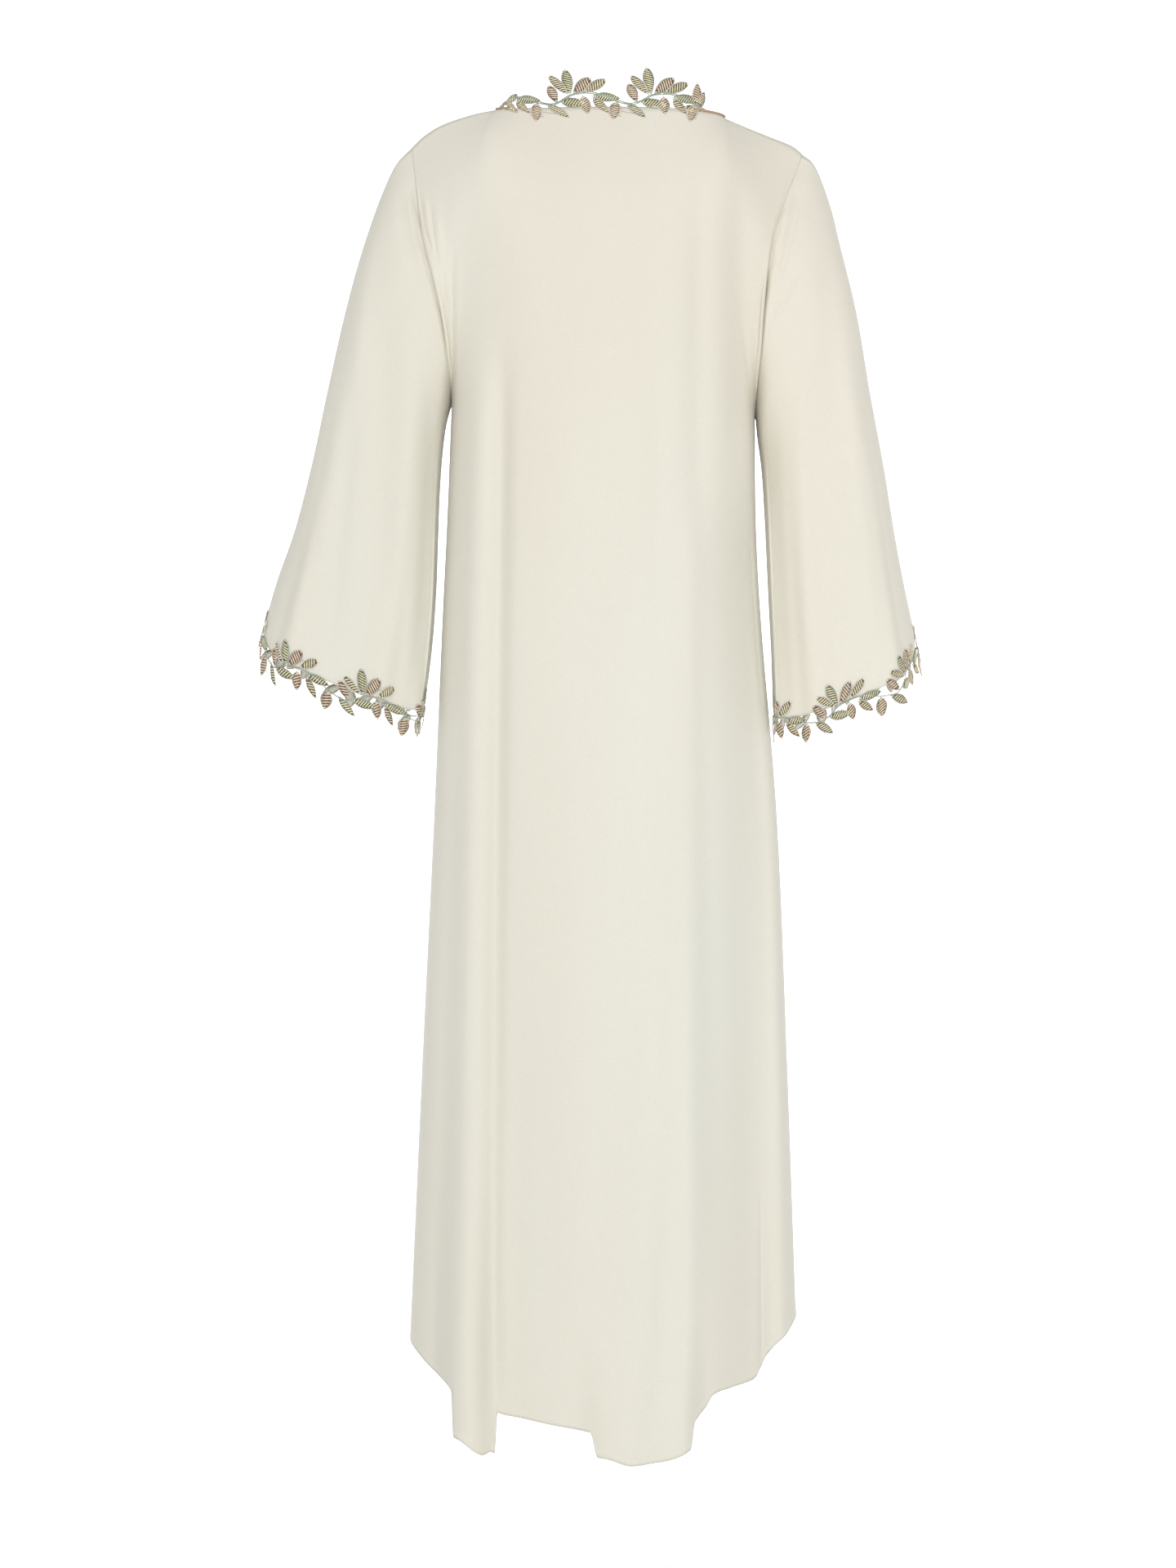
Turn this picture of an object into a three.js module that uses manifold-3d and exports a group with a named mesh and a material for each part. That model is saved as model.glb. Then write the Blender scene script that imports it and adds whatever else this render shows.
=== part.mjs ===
// Maxi dress of kaftan cut: a back and a front that run from shoulder to hem, two set-in bell sleeves,
// and a leaf-vine lace trim round the neck and both cuffs. It is worn by a general figure and hollow.
// Millimetres, +Z up. The front faces -Y and the wearer's left is +X. The origin lies between the
// shoulders, level with the side of the neck, so the hem hangs at about Z = -1400.

import * as THREE from "three";
import { mergeVertices } from "three/addons/utils/BufferGeometryUtils.js";
import Module from "manifold-3d";

const wasm = await Module();
wasm.setup();

// ---------------------------------------------------------------- driving dimensions

const WALL = 1.5; // cloth with its turned edges
const SEAM_GAP = 0.3; // air left along every seam
const SQUARENESS = 2.3; // 2 is an ellipse, more is squarer

// Half widths and depths of the body from the underarm to the hem.
const BODY = [
  { z: -308, left: 163, right: 157, back: 112, front: 132 },
  { z: -435, left: 168, right: 158.5, back: 108, front: 136 },
  { z: -540, left: 173, right: 164, back: 106, front: 138 },
  { z: -750, left: 182, right: 181, back: 111, front: 140 },
  { z: -1000, left: 194, right: 191.5, back: 120, front: 145 },
  { z: -1290, left: 207, right: 201.5, back: 128, front: 152 },
];

// Armhole seams, from the underarm up the back to the shoulder. The front seam mirrors the back one,
// scooped in by ARMHOLE_SCOOP at half height.
const ARMHOLE = {
  left: [
    { x: 163.1, y: 0, z: -308 },
    { x: 166, y: 52, z: -268 },
    { x: 172, y: 66, z: -226 },
    { x: 181, y: 67, z: -187 },
    { x: 191, y: 57, z: -147 },
    { x: 199, y: 34, z: -92 },
    { x: 206, y: 0, z: -39 },
  ],
  right: [
    { x: -157.2, y: 0, z: -320 },
    { x: -162, y: 50, z: -270 },
    { x: -164.5, y: 66, z: -220 },
    { x: -169, y: 66, z: -177 },
    { x: -175, y: 57, z: -141 },
    { x: -189, y: 34, z: -96 },
    { x: -209, y: 0, z: -43 },
  ],
};
const ARMHOLE_SCOOP = 7;

// Shoulder seams from the armhole to the side of the neck, and the neck edge of each panel.
const SHOULDER = {
  left: [
    { x: 206, z: -39 },
    { x: 193, z: -27 },
    { x: 175, z: -15 },
    { x: 141, z: -2 },
    { x: 116, z: 4 },
  ],
  right: [
    { x: -209, z: -43 },
    { x: -199, z: -35 },
    { x: -172, z: -24 },
    { x: -146, z: -13.5 },
    { x: -125, z: -4.5 },
  ],
};
const NECK_AT = 0.2; // share of a panel's top edge taken by each shoulder seam
const NECK_SOFT = 0.13; // how far across a panel the corners of its neck edge are rounded off below the edge
const NECK_CORNER = 8; // and how soon below the edge
const SIDE_PULL = 4; // how fast the armhole's bend fades across a panel at the shoulder
const UNDERARM_PULL = 10; // and how much faster at the underarm

// A fold runs down a panel: "from" and "to" place its middle across the panel at its top and at the hem
// (0 is the wearer's left side seam, 1 the right one), "wide" and "edge" are shares of the panel too,
// "out" is how far it stands proud, "drop" how much it lowers the hem, "top" and "full" are heights.
const FOLDS_BACK = [
  { from: 0.235, to: 0.283, wide: 0.094, edge: 0.012, out: 30, drop: 44, top: -1120, full: -1400 },
  { from: 0.235, to: 0.275, wide: 0.1, edge: 0.1, out: 16, drop: 0, top: -420, full: -1250 },
  { from: 0.555, to: 0.556, wide: 0.138, edge: 0.014, out: 24, drop: 24, top: -1230, full: -1410 },
  { from: 0.58, to: 0.6, wide: 0.1, edge: 0.09, out: 14, drop: 0, top: -240, full: -1200 },
  { from: 0.43, to: 0.455, wide: 0.12, edge: 0.12, out: 8, drop: 0, top: -500, full: -1250 },
  { from: 0.7, to: 0.72, wide: 0.12, edge: 0.1, out: -14, drop: 0, top: -260, full: -1000 },
  { from: 0.73, to: 0.722, wide: 0.13, edge: 0.014, out: 16, drop: 4, top: -1120, full: -1350 },
];
const FOLDS_FRONT = [
  { from: 0.24, to: 0.2, wide: 0.12, edge: 0.1, out: 26, drop: 6, top: -460, full: -1250 },
  { from: 0.42, to: 0.4, wide: 0.13, edge: 0.11, out: 24, drop: 8, top: -620, full: -1280 },
  { from: 0.6, to: 0.61, wide: 0.13, edge: 0.11, out: 28, drop: 8, top: -560, full: -1260 },
  { from: 0.77, to: 0.81, wide: 0.12, edge: 0.1, out: 24, drop: 6, top: -440, full: -1240 },
];

// Height of the hem across each panel, before the folds lower it.
const HEM_BACK = [
  { across: 0, z: -1301 },
  { across: 0.1, z: -1308 },
  { across: 0.19, z: -1326 },
  { across: 0.229, z: -1335 },
  { across: 0.24, z: -1342 },
  { across: 0.33, z: -1358 },
  { across: 0.352, z: -1374 },
  { across: 0.4, z: -1367 },
  { across: 0.48, z: -1377 },
  { across: 0.56, z: -1382 },
  { across: 0.62, z: -1362 },
  { across: 0.65, z: -1353 },
  { across: 0.68, z: -1333 },
  { across: 0.78, z: -1332 },
  { across: 0.8, z: -1314 },
  { across: 0.84, z: -1297 },
  { across: 0.92, z: -1281 },
  { across: 1, z: -1276 },
];
const HEM_FRONT = [
  { across: 0, z: -1301 },
  { across: 0.25, z: -1306 },
  { across: 0.5, z: -1308 },
  { across: 0.75, z: -1298 },
  { across: 1, z: -1276 },
];

// Each panel: which way it faces, its folds and hem, where its neck edge dips to, how far its upper
// half stands out of a straight fall, and its columns and rows of faces.
const PANELS = {
  back: {
    facing: 1,
    folds: FOLDS_BACK,
    hem: HEM_BACK,
    neck: { y: 56, z: -4 },
    bulge: 20,
    columns: 29,
    bodyRows: 12,
  },
  front: {
    facing: -1,
    folds: FOLDS_FRONT,
    hem: HEM_FRONT,
    neck: { y: -112, z: -112 },
    bulge: 9,
    columns: 21,
    bodyRows: 9,
  },
};
const ARMHOLE_ROWS = 11; // rows of faces from the underarm to the shoulder, shared with the sleeves

// Sleeve sections from the armhole to the cuff: the outer and the inner point of each section, its
// depth behind and before the arm, and how much of the armhole's own bend it keeps.
const SLEEVE = {
  left: [
    { outX: 222.4, outZ: -52, inX: 164, inZ: -313, back: 68, front: 66, bend: 0.75 },
    { outX: 239.4, outZ: -87, inX: 165.1, inZ: -321, back: 68, front: 66, bend: 0.4 },
    { outX: 259.4, outZ: -145, inX: 167, inZ: -333, back: 66, front: 65, bend: 0.12 },
    { outX: 277.4, outZ: -212, inX: 170.6, inZ: -362, back: 63, front: 62, bend: 0 },
    { outX: 295.9, outZ: -293, inX: 174.6, inZ: -404, back: 60, front: 60, bend: 0 },
    { outX: 313.4, outZ: -373, inX: 177.6, inZ: -455, back: 58, front: 59, bend: 0 },
    { outX: 331.9, outZ: -444, inX: 180.6, inZ: -510, back: 57, front: 59, bend: 0 },
    { outX: 351.4, outZ: -500, inX: 185.6, inZ: -568, back: 57, front: 60, bend: 0 },
    { outX: 364.4, outZ: -546, inX: 193.6, inZ: -632, back: 58, front: 61, bend: 0 },
  ],
  right: [
    { outX: -220.4, outZ: -52, inX: -159.1, inZ: -325, back: 68, front: 66, bend: 0.75 },
    { outX: -237.4, outZ: -92, inX: -160.4, inZ: -332, back: 68, front: 66, bend: 0.4 },
    { outX: -251.4, outZ: -147, inX: -162, inZ: -345, back: 66, front: 65, bend: 0.12 },
    { outX: -266.4, outZ: -212, inX: -165.6, inZ: -371, back: 63, front: 62, bend: 0 },
    { outX: -280.9, outZ: -296, inX: -168.6, inZ: -412, back: 60, front: 60, bend: 0 },
    { outX: -295.9, outZ: -375, inX: -171.1, inZ: -462, back: 58, front: 59, bend: 0 },
    { outX: -307.4, outZ: -446, inX: -173.6, inZ: -516, back: 57, front: 59, bend: 0 },
    { outX: -318.4, outZ: -505, inX: -176.6, inZ: -574, back: 57, front: 60, bend: 0 },
    { outX: -329.4, outZ: -556, inX: -178.6, inZ: -638, back: 58, front: 61, bend: 0 },
  ],
};
const CUFF_DIP = { left: 30, right: 40 }; // how far the back and the front of a cuff hang below its sides

// Folds of the sleeves, placed round the section: 0 is the outer side, 0.5 the back, 1 the inner side.
const FOLDS_SLEEVE = [
  { around: 0.3, wide: 0.22, out: 7 },
  { around: 0.62, wide: 0.2, out: 6 },
  { around: 0.86, wide: 0.16, out: 4 },
  { around: -0.36, wide: 0.24, out: 8 },
  { around: -0.7, wide: 0.22, out: 6 },
];

// One repeat of the lace, flat: "along" and "up" place a leaf's stalk end, "turn" is its direction in
// degrees, "long" and "wide" its size.
const REPEAT = 84;
const LEAVES = [
  { along: -15, up: -8.5, turn: 128, long: 22, wide: 9 },
  { along: -1, up: 0, turn: 140, long: 28, wide: 9 },
  { along: 0, up: 0, turn: 102, long: 30, wide: 10.5 },
  { along: 2, up: 0.8, turn: 56, long: 27, wide: 11 },
  { along: 14, up: 2.9, turn: 40, long: 24, wide: 9.5 },
  { along: 26, up: 1.8, turn: 14, long: 22, wide: 9 },
  { along: -11, up: -7, turn: -4, long: 25, wide: 9 },
  { along: 17, up: 3, turn: -70, long: 22, wide: 9.5 },
  { along: 27, up: 1.5, turn: -48, long: 25, wide: 7 },
  { along: -30, up: -8.8, turn: -88, long: 22, wide: 11 },
  { along: -21, up: -9.8, turn: -32, long: 27, wide: 8 },
];
const VINE = [
  { along: -38.2, up: -5.6 },
  { along: -21.3, up: -9.9 },
  { along: -12.4, up: -7.7 },
  { along: 0, up: 0 },
  { along: 10.2, up: 2.7 },
  { along: 21.3, up: 2.9 },
  { along: 33.9, up: -0.5 },
];
const VINE_WIDE = 2.4;
const LACE_THICK = 1.2;
const LACE_LIFT = { neck: 0.95, cuff: 2.9 }; // between the lace and the cloth under it
const NECK_LACE_END = 9; // left free at each end of a neck strip
const NECK_LACE_UP = 14; // the lace's own line above the neck edge
const NECK_LACE_RISE = 0.35; // how much it stands up instead of following the shoulder
const NECK_LACE_LOW = 0.3; // share of that rise left at the ends of a strip
const NECK_LACE_BARE = 30; // length at each end of a strip with no leaf standing up
const CUFF_LACE_UP = -1.5; // the lace's own line above the cuff edge

const NECK_FAN_AT = { back: 92.5, front: 50 }; // distance of a fan of leaves from the left end of a strip
const CUFF_FAN_AT = { left: 70, right: 21 };

const CREAM = 0xebe8dc;
const SAGE = 0xa9a883;

// ---------------------------------------------------------------- small helpers

const clamp = (t) => Math.min(1, Math.max(0, t));
const ease = (t) => clamp(t) ** 2 * (3 - 2 * clamp(t));
const point = ({ x = 0, y = 0, z = 0 }) => new THREE.Vector3(x, y, z);

/** The value of column `name` where column `by` reaches `at`, on a smooth curve through the rows. */
function column(rows, by, name, at) {
  const last = rows.length - 1;
  const sense = Math.sign(rows[last][by] - rows[0][by]);
  let i = 0;
  while (i < last - 1 && (at - rows[i + 1][by]) * sense > 0) i += 1;
  const slope = (j) => {
    const before = rows[Math.max(0, j - 1)];
    const after = rows[Math.min(last, j + 1)];
    return (after[name] - before[name]) / (after[by] - before[by]);
  };
  const [p, q] = [rows[i], rows[i + 1]];
  const step = q[by] - p[by];
  const t = clamp((at - p[by]) / step);
  const lean = (2 * t ** 3 - 3 * t ** 2 + 1) * p[name] + (3 * t ** 2 - 2 * t ** 3) * q[name];
  return lean + step * ((t ** 3 - 2 * t ** 2 + t) * slope(i) + (t ** 3 - t ** 2) * slope(i + 1));
}

/** How much of a fold stands at a place: 0 is none, 1 all of it. */
function foldShare(fold, across, z) {
  const grown = ease((fold.top - z) / (fold.top - fold.full));
  const middle = fold.from + (fold.to - fold.from) * grown;
  return grown * ease((fold.wide / 2 + fold.edge / 2 - Math.abs(across - middle)) / fold.edge);
}

// ---------------------------------------------------------------- body panels

/** A point of a panel below the underarm. */
function bodyPoint(panel, across, z) {
  const angle = Math.PI * across;
  const [cos, sin] = [Math.cos(angle), Math.sin(angle)];
  const half = column(BODY, "z", cos > 0 ? "left" : "right", z);
  const deep = column(BODY, "z", panel.facing > 0 ? "back" : "front", z);
  const folds = panel.folds.reduce((sum, fold) => sum + fold.out * foldShare(fold, across, z), 0);
  const x = half * Math.sign(cos) * Math.abs(cos) ** (2 / SQUARENESS);
  const y = SEAM_GAP / 2 + deep * sin ** (2 / SQUARENESS) + folds;
  return new THREE.Vector3(x, panel.facing * y, z);
}

function hemHeight(panel, across) {
  const lowered = panel.folds.reduce((sum, f) => sum + f.drop * foldShare(f, across, f.full), 0);
  return column(panel.hem, "across", "z", across) - lowered;
}

const underarmHeight = (across) =>
  ARMHOLE.left[0].z + (ARMHOLE.right[0].z - ARMHOLE.left[0].z) * across;

/** The armhole seam of one panel: `up` is 0 at the underarm and 1 at the shoulder. */
function armholePoint(panel, side, up) {
  const curve = new THREE.CatmullRomCurve3(ARMHOLE[side].map(point), false, "centripetal");
  const at = curve.getPoint(up);
  const scoop = panel.facing < 0 ? ARMHOLE_SCOOP * Math.sin(Math.PI * up) : 0;
  at.x -= Math.sign(at.x) * scoop;
  at.y = panel.facing * (SEAM_GAP / 2 + at.y);
  return at;
}

/** The top edge of a panel: shoulder seam, neck edge, shoulder seam. */
function topPoint(panel, across) {
  const seam = (side, share) => {
    const curve = new THREE.CatmullRomCurve3(SHOULDER[side].map(point), false, "centripetal");
    const at = curve.getPoint(share);
    at.y = (panel.facing * SEAM_GAP) / 2;
    return at;
  };
  if (across <= NECK_AT) return seam("left", across / NECK_AT);
  if (across >= 1 - NECK_AT) return seam("right", (1 - across) / NECK_AT);
  const [start, end] = [seam("left", 1), seam("right", 1)];
  const angle = (Math.PI * (across - NECK_AT)) / (1 - 2 * NECK_AT);
  const middle = (start.x + end.x) / 2;
  const half = (start.x - end.x) / 2;
  const side = (start.z + end.z) / 2 + ((start.z - end.z) / 2) * Math.cos(angle);
  const round = Math.sin(angle);
  return new THREE.Vector3(
    middle + half * Math.cos(angle),
    start.y + (panel.neck.y - start.y) * round,
    side + (panel.neck.z - side) * round ** (panel.facing > 0 ? 1 : 0.9),
  );
}

/** The top edge with its corners rounded off, which is what the cloth below the edge follows. */
function softTopPoint(panel, across) {
  const at = new THREE.Vector3();
  const steps = 6;
  for (let i = -steps; i <= steps; i += 1) {
    const place = across + (NECK_SOFT * i) / steps;
    const inside = clamp(place);
    const there = topPoint(panel, inside);
    if (place !== inside) there.multiplyScalar(2).sub(topPoint(panel, 2 * inside - place));
    at.addScaledVector(there, (steps + 1 - Math.abs(i)) / (steps + 1) ** 2);
  }
  return at;
}

/**
 * A point between the underarm and the top edge: a fall that is upright at the underarm and arches over
 * the shoulder. The armholes' own bend fades towards the middle.
 */
function upperPoint(panel, across, up) {
  const straight = (u) => {
    const low = bodyPoint(panel, u, underarmHeight(u));
    const high = softTopPoint(panel, u).lerp(topPoint(panel, u), up ** NECK_CORNER);
    const arched = 1 - ease((Math.min(u, 1 - u) - NECK_AT) / NECK_AT);
    const lean = 1 - Math.cos((Math.PI / 2) * up);
    const rise = up + (Math.sin((Math.PI / 2) * up) - up) * arched;
    return new THREE.Vector3(
      low.x + (high.x - low.x) * lean,
      low.y + (high.y - low.y) * lean,
      low.z + (high.z - low.z) * rise,
    );
  };
  const at = straight(across);
  for (const [side, edge] of [["left", 0], ["right", 1]]) {
    const pull = (1 - Math.abs(across - edge)) ** (SIDE_PULL + UNDERARM_PULL * (1 - up) ** 2);
    at.addScaledVector(armholePoint(panel, side, up).sub(straight(edge)), pull);
  }
  const fullness = 6.75 * up ** 2 * (1 - up);
  at.y += panel.facing * panel.bulge * fullness * Math.sin(Math.PI * across);
  return at;
}

/** Where the columns of faces stand: evenly, but also on the feet and the brows of the sharp folds. */
function columnsOf(panel) {
  const marks = [0, NECK_AT, 1 - NECK_AT, 1];
  for (const { to, wide, edge } of panel.folds.filter((fold) => fold.edge < 0.05)) {
    for (const side of [-1, 1]) {
      marks.push(to + (side * (wide + edge)) / 2, to + (side * (wide - edge)) / 2);
    }
  }
  for (let i = 1; i < panel.columns; i += 1) {
    const even = i / panel.columns;
    if (marks.every((mark) => Math.abs(mark - even) > 0.4 / panel.columns)) marks.push(even);
  }
  return marks.sort((a, b) => a - b);
}

/** The outer points of a panel, row by row from the hem to the top edge. */
function panelGrid(panel) {
  const across = columnsOf(panel);
  const rows = [];
  for (let i = 0; i < panel.bodyRows; i += 1) {
    const share = (i / panel.bodyRows) ** 1.15;
    rows.push(
      across.map((u) => {
        const hem = hemHeight(panel, u);
        return bodyPoint(panel, u, hem + (underarmHeight(u) - hem) * share);
      }),
    );
  }
  for (let i = 0; i <= ARMHOLE_ROWS; i += 1) {
    rows.push(across.map((u) => upperPoint(panel, u, i / ARMHOLE_ROWS)));
  }
  return { rows, across };
}

// ---------------------------------------------------------------- sleeves

/** The outer points of a sleeve, ring by ring from the armhole to the cuff. */
function sleeveGrid(side) {
  const outward = side === "left" ? 1 : -1;
  const turns = [];
  for (let i = 0; i < 2 * ARMHOLE_ROWS; i += 1) turns.push(i / ARMHOLE_ROWS);
  const armhole = turns.map((turn) => {
    const panel = turn <= 1 ? PANELS.back : PANELS.front;
    const at = armholePoint(panel, side, turn <= 1 ? 1 - turn : turn - 1);
    if (turn === 0 || turn === 1) at.y = 0;
    at.x += outward * SEAM_GAP;
    return at;
  });
  const oval = (row, turn) => {
    const [cos, sin] = [Math.cos(Math.PI * turn), Math.sin(Math.PI * turn)];
    const share = (1 - Math.sign(cos) * Math.abs(cos) ** (2 / SQUARENESS)) / 2;
    const depth = sin > 0 ? row.back : row.front;
    return new THREE.Vector3(
      row.outX + (row.inX - row.outX) * share,
      Math.sign(sin) * depth * Math.abs(sin) ** (2 / SQUARENESS),
      row.outZ + (row.inZ - row.outZ) * share,
    );
  };
  const [shoulder, underarm] = [armhole[0], armhole[ARMHOLE_ROWS]];
  const first = { outX: shoulder.x, outZ: shoulder.z, inX: underarm.x, inZ: underarm.z, back: 66, front: 66 };
  const rings = [armhole];
  SLEEVE[side].forEach((row, index) => {
    const down = (index + 1) / SLEEVE[side].length;
    rings.push(
      turns.map((turn, j) => {
        const at = oval(row, turn);
        at.addScaledVector(armhole[j].clone().sub(oval(first, turn)), row.bend);
        const angle = Math.PI * turn;
        const dip = CUFF_DIP[side] * Math.abs(Math.sin(angle)) ** 0.6 * (0.75 + 0.35 * Math.cos(angle));
        at.z -= dip * ease((down - 0.45) / 0.55);
        const centre = new THREE.Vector3((row.outX + row.inX) / 2, 0, at.z);
        const signed = turn > 1 ? turn - 2 : turn;
        let out = 0;
        for (const fold of FOLDS_SLEEVE) {
          out += fold.out * ease(1 - Math.abs(signed - fold.around) / (fold.wide / 2)) * ease((down - 0.35) / 0.65);
        }
        return at.add(at.clone().sub(centre).setLength(out));
      }),
    );
  });
  return rings;
}

// ---------------------------------------------------------------- walls from grids

/** Normals of a grid of points, pointing to the side that the sign of `facing` gives. */
function gridNormals(rows, closed, facing) {
  const normals = rows.map((row) => row.map(() => new THREE.Vector3()));
  const count = rows[0].length;
  const spans = closed ? count : count - 1;
  for (let r = 0; r < rows.length - 1; r += 1) {
    for (let c = 0; c < spans; c += 1) {
      const next = (c + 1) % count;
      const first = rows[r + 1][next].clone().sub(rows[r][c]);
      const second = rows[r + 1][c].clone().sub(rows[r][next]);
      const normal = first.cross(second).multiplyScalar(facing).normalize();
      for (const [i, j] of [[r, c], [r, next], [r + 1, c], [r + 1, next]]) normals[i][j].add(normal);
    }
  }
  normals.forEach((row) => row.forEach((normal) => normal.normalize()));
  return normals;
}

/** A closed mesh from triangles of Vector3 corners, turned so that its faces point out. */
function closedGeometry(triangles) {
  let volume = 0;
  for (const [a, b, c] of triangles) volume += a.dot(b.clone().cross(c));
  const flat = [];
  for (const [a, b, c] of triangles) {
    for (const corner of volume > 0 ? [a, b, c] : [a, c, b]) flat.push(corner.x, corner.y, corner.z);
  }
  const geometry = new THREE.BufferGeometry();
  geometry.setAttribute("position", new THREE.Float32BufferAttribute(flat, 3));
  const merged = mergeVertices(geometry, 1e-4);
  merged.computeVertexNormals();
  return merged;
}

/** The wall between two grids of the same size, closed along its edges. */
function wallGeometry(outer, inner, closed) {
  const triangles = [];
  const count = outer[0].length;
  const spans = closed ? count : count - 1;
  const quad = (a, b, c, d) => triangles.push([a, b, c], [a, c, d]);
  for (let r = 0; r < outer.length - 1; r += 1) {
    for (let c = 0; c < spans; c += 1) {
      const next = (c + 1) % count;
      quad(outer[r][c], outer[r][next], outer[r + 1][next], outer[r + 1][c]);
      quad(inner[r][c], inner[r + 1][c], inner[r + 1][next], inner[r][next]);
    }
    if (!closed) {
      const end = count - 1;
      quad(outer[r][0], outer[r + 1][0], inner[r + 1][0], inner[r][0]);
      quad(outer[r][end], inner[r][end], inner[r + 1][end], outer[r + 1][end]);
    }
  }
  const top = outer.length - 1;
  for (let c = 0; c < spans; c += 1) {
    const next = (c + 1) % count;
    quad(outer[0][c], inner[0][c], inner[0][next], outer[0][next]);
    quad(outer[top][c], outer[top][next], inner[top][next], inner[top][c]);
  }
  return closedGeometry(triangles);
}

/** The cloth of a panel. Along a seam its edge is square to the seam, so that it keeps the gap. */
function makePanel(panel) {
  const { rows, across } = panelGrid(panel);
  const normals = gridNormals(rows, false, panel.facing);
  const top = rows.length - 1;
  const end = across.length - 1;
  const inner = rows.map((row, r) =>
    row.map((at, c) => {
      const normal = normals[r][c].clone();
      const sideSeam = (c === 0 || c === end) && r <= panel.bodyRows;
      const shoulderSeam = r === top && (across[c] <= NECK_AT || across[c] >= 1 - NECK_AT);
      if (sideSeam || shoulderSeam) normal.y = 0;
      if (c === 0) normal.x = Math.max(0, normal.x);
      if (c === end) normal.x = Math.min(0, normal.x);
      return at.clone().addScaledVector(normal.normalize(), -WALL);
    }),
  );
  return { rows, across, normals, geometry: wallGeometry(rows, inner, false) };
}

/** The cloth of a sleeve. Its first ring never leans towards the body panels. */
function makeSleeve(side) {
  const outward = side === "left" ? 1 : -1;
  const rows = sleeveGrid(side);
  const normals = gridNormals(rows, true, -outward);
  const inner = rows.map((ring, r) =>
    ring.map((at, c) => {
      const inward = normals[r][c].clone().negate();
      if (r === 0 && inward.x * outward < 0) inward.x = 0;
      return at.clone().addScaledVector(inward.normalize(), WALL);
    }),
  );
  return { rows, normals, geometry: wallGeometry(rows, inner, true) };
}

// ---------------------------------------------------------------- lace

function solidOf(geometry) {
  const bare = geometry.clone();
  bare.deleteAttribute("normal");
  bare.deleteAttribute("uv");
  const merged = mergeVertices(bare, 1e-5);
  return new wasm.Manifold(
    new wasm.Mesh({
      numProp: 3,
      vertProperties: merged.attributes.position.array,
      triVerts: new Uint32Array(merged.index.array),
    }),
  );
}

function flatPiece(outline) {
  return solidOf(new THREE.ExtrudeGeometry(new THREE.Shape(outline), { depth: LACE_THICK, bevelEnabled: false }));
}

/** A leaf with a pointed tip, from its stalk end. */
function leafPiece(leaf, shift) {
  const half = [
    { at: 0.36, wide: 0.46 },
    { at: 0.74, wide: 0.4 },
  ];
  const outline = [
    [0, 0],
    ...half.map(({ at, wide }) => [at * leaf.long, -wide * leaf.wide]),
    [leaf.long, 0],
    ...half.toReversed().map(({ at, wide }) => [at * leaf.long, wide * leaf.wide]),
  ];
  const turn = THREE.MathUtils.degToRad(leaf.turn);
  return flatPiece(
    outline.map(([x, y]) => new THREE.Vector2(x, y).rotateAround(new THREE.Vector2(), turn).add(
      new THREE.Vector2(leaf.along + shift, leaf.up),
    )),
  );
}

/** The vine between two places, a strip that waves through every repeat. */
function vinePiece(start, end, phase) {
  const knots = [];
  for (let n = Math.floor((start - phase) / REPEAT) - 1; phase + n * REPEAT < end + REPEAT; n += 1) {
    for (const { along, up } of VINE) knots.push({ along: along + phase + n * REPEAT, up });
  }
  const inside = knots.filter(({ along }) => along > start + 2 && along < end - 2);
  const places = [start, ...inside.map(({ along }) => along), end];
  const height = (along) => column(knots, "along", "up", along);
  const edge = (along, side) => {
    const slope = (height(along + 0.5) - height(along - 0.5)) / 1;
    const stretch = Math.hypot(1, slope);
    return new THREE.Vector2(
      along - (side * (VINE_WIDE / 2) * slope) / stretch,
      height(along) + (side * (VINE_WIDE / 2)) / stretch,
    );
  };
  return flatPiece([...places.map((at) => edge(at, -1)), ...places.toReversed().map((at) => edge(at, 1))]);
}

/**
 * A strip of flat lace of the given length. A fan of leaves stands at `phase` and every repeat on. Near
 * the strip's ends, the leaves that stand up are left out.
 */
function flatLace(length, phase, bareEnds) {
  let lace = vinePiece(0, length, phase);
  for (let n = -Math.ceil(length / REPEAT) - 1; n * REPEAT < length + REPEAT; n += 1) {
    for (const leaf of LEAVES) {
      const shift = phase + n * REPEAT;
      const reach = leaf.long * Math.cos(THREE.MathUtils.degToRad(leaf.turn));
      const ends = [leaf.along + shift, leaf.along + shift + reach];
      const clear = leaf.up >= 0 && leaf.turn > 30 ? bareEnds : 1;
      if (Math.min(...ends) > clear && Math.max(...ends) < length - clear) lace = lace.add(leafPiece(leaf, shift));
    }
  }
  return lace.getMesh();
}

/** Bends flat lace along an edge: `place(along, up, out)` gives the point for each flat one. */
function bentLace(mesh, place) {
  const corners = [];
  for (let i = 0; i < mesh.vertProperties.length; i += 3) {
    const [along, up, out] = mesh.vertProperties.subarray(i, i + 3);
    corners.push(place(along, up, out));
  }
  const triangles = [];
  for (let i = 0; i < mesh.triVerts.length; i += 3) {
    triangles.push([0, 1, 2].map((k) => corners[mesh.triVerts[i + k]]));
  }
  return closedGeometry(triangles);
}

/** Walks an edge given by its points: the point, its normal and its fall at a distance along it. */
function edgeWalk(points, normals, falls) {
  const far = [0];
  for (let i = 1; i < points.length; i += 1) far.push(far[i - 1] + points[i].distanceTo(points[i - 1]));
  const length = far[far.length - 1];
  const at = (distance) => {
    let i = 0;
    while (i < points.length - 2 && far[i + 1] < distance) i += 1;
    const share = clamp((distance - far[i]) / (far[i + 1] - far[i]));
    const mix = (list) => list[i].clone().lerp(list[i + 1], share);
    return { point: mix(points), normal: mix(normals).normalize(), fall: mix(falls).normalize() };
  };
  return { length, at };
}

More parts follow.
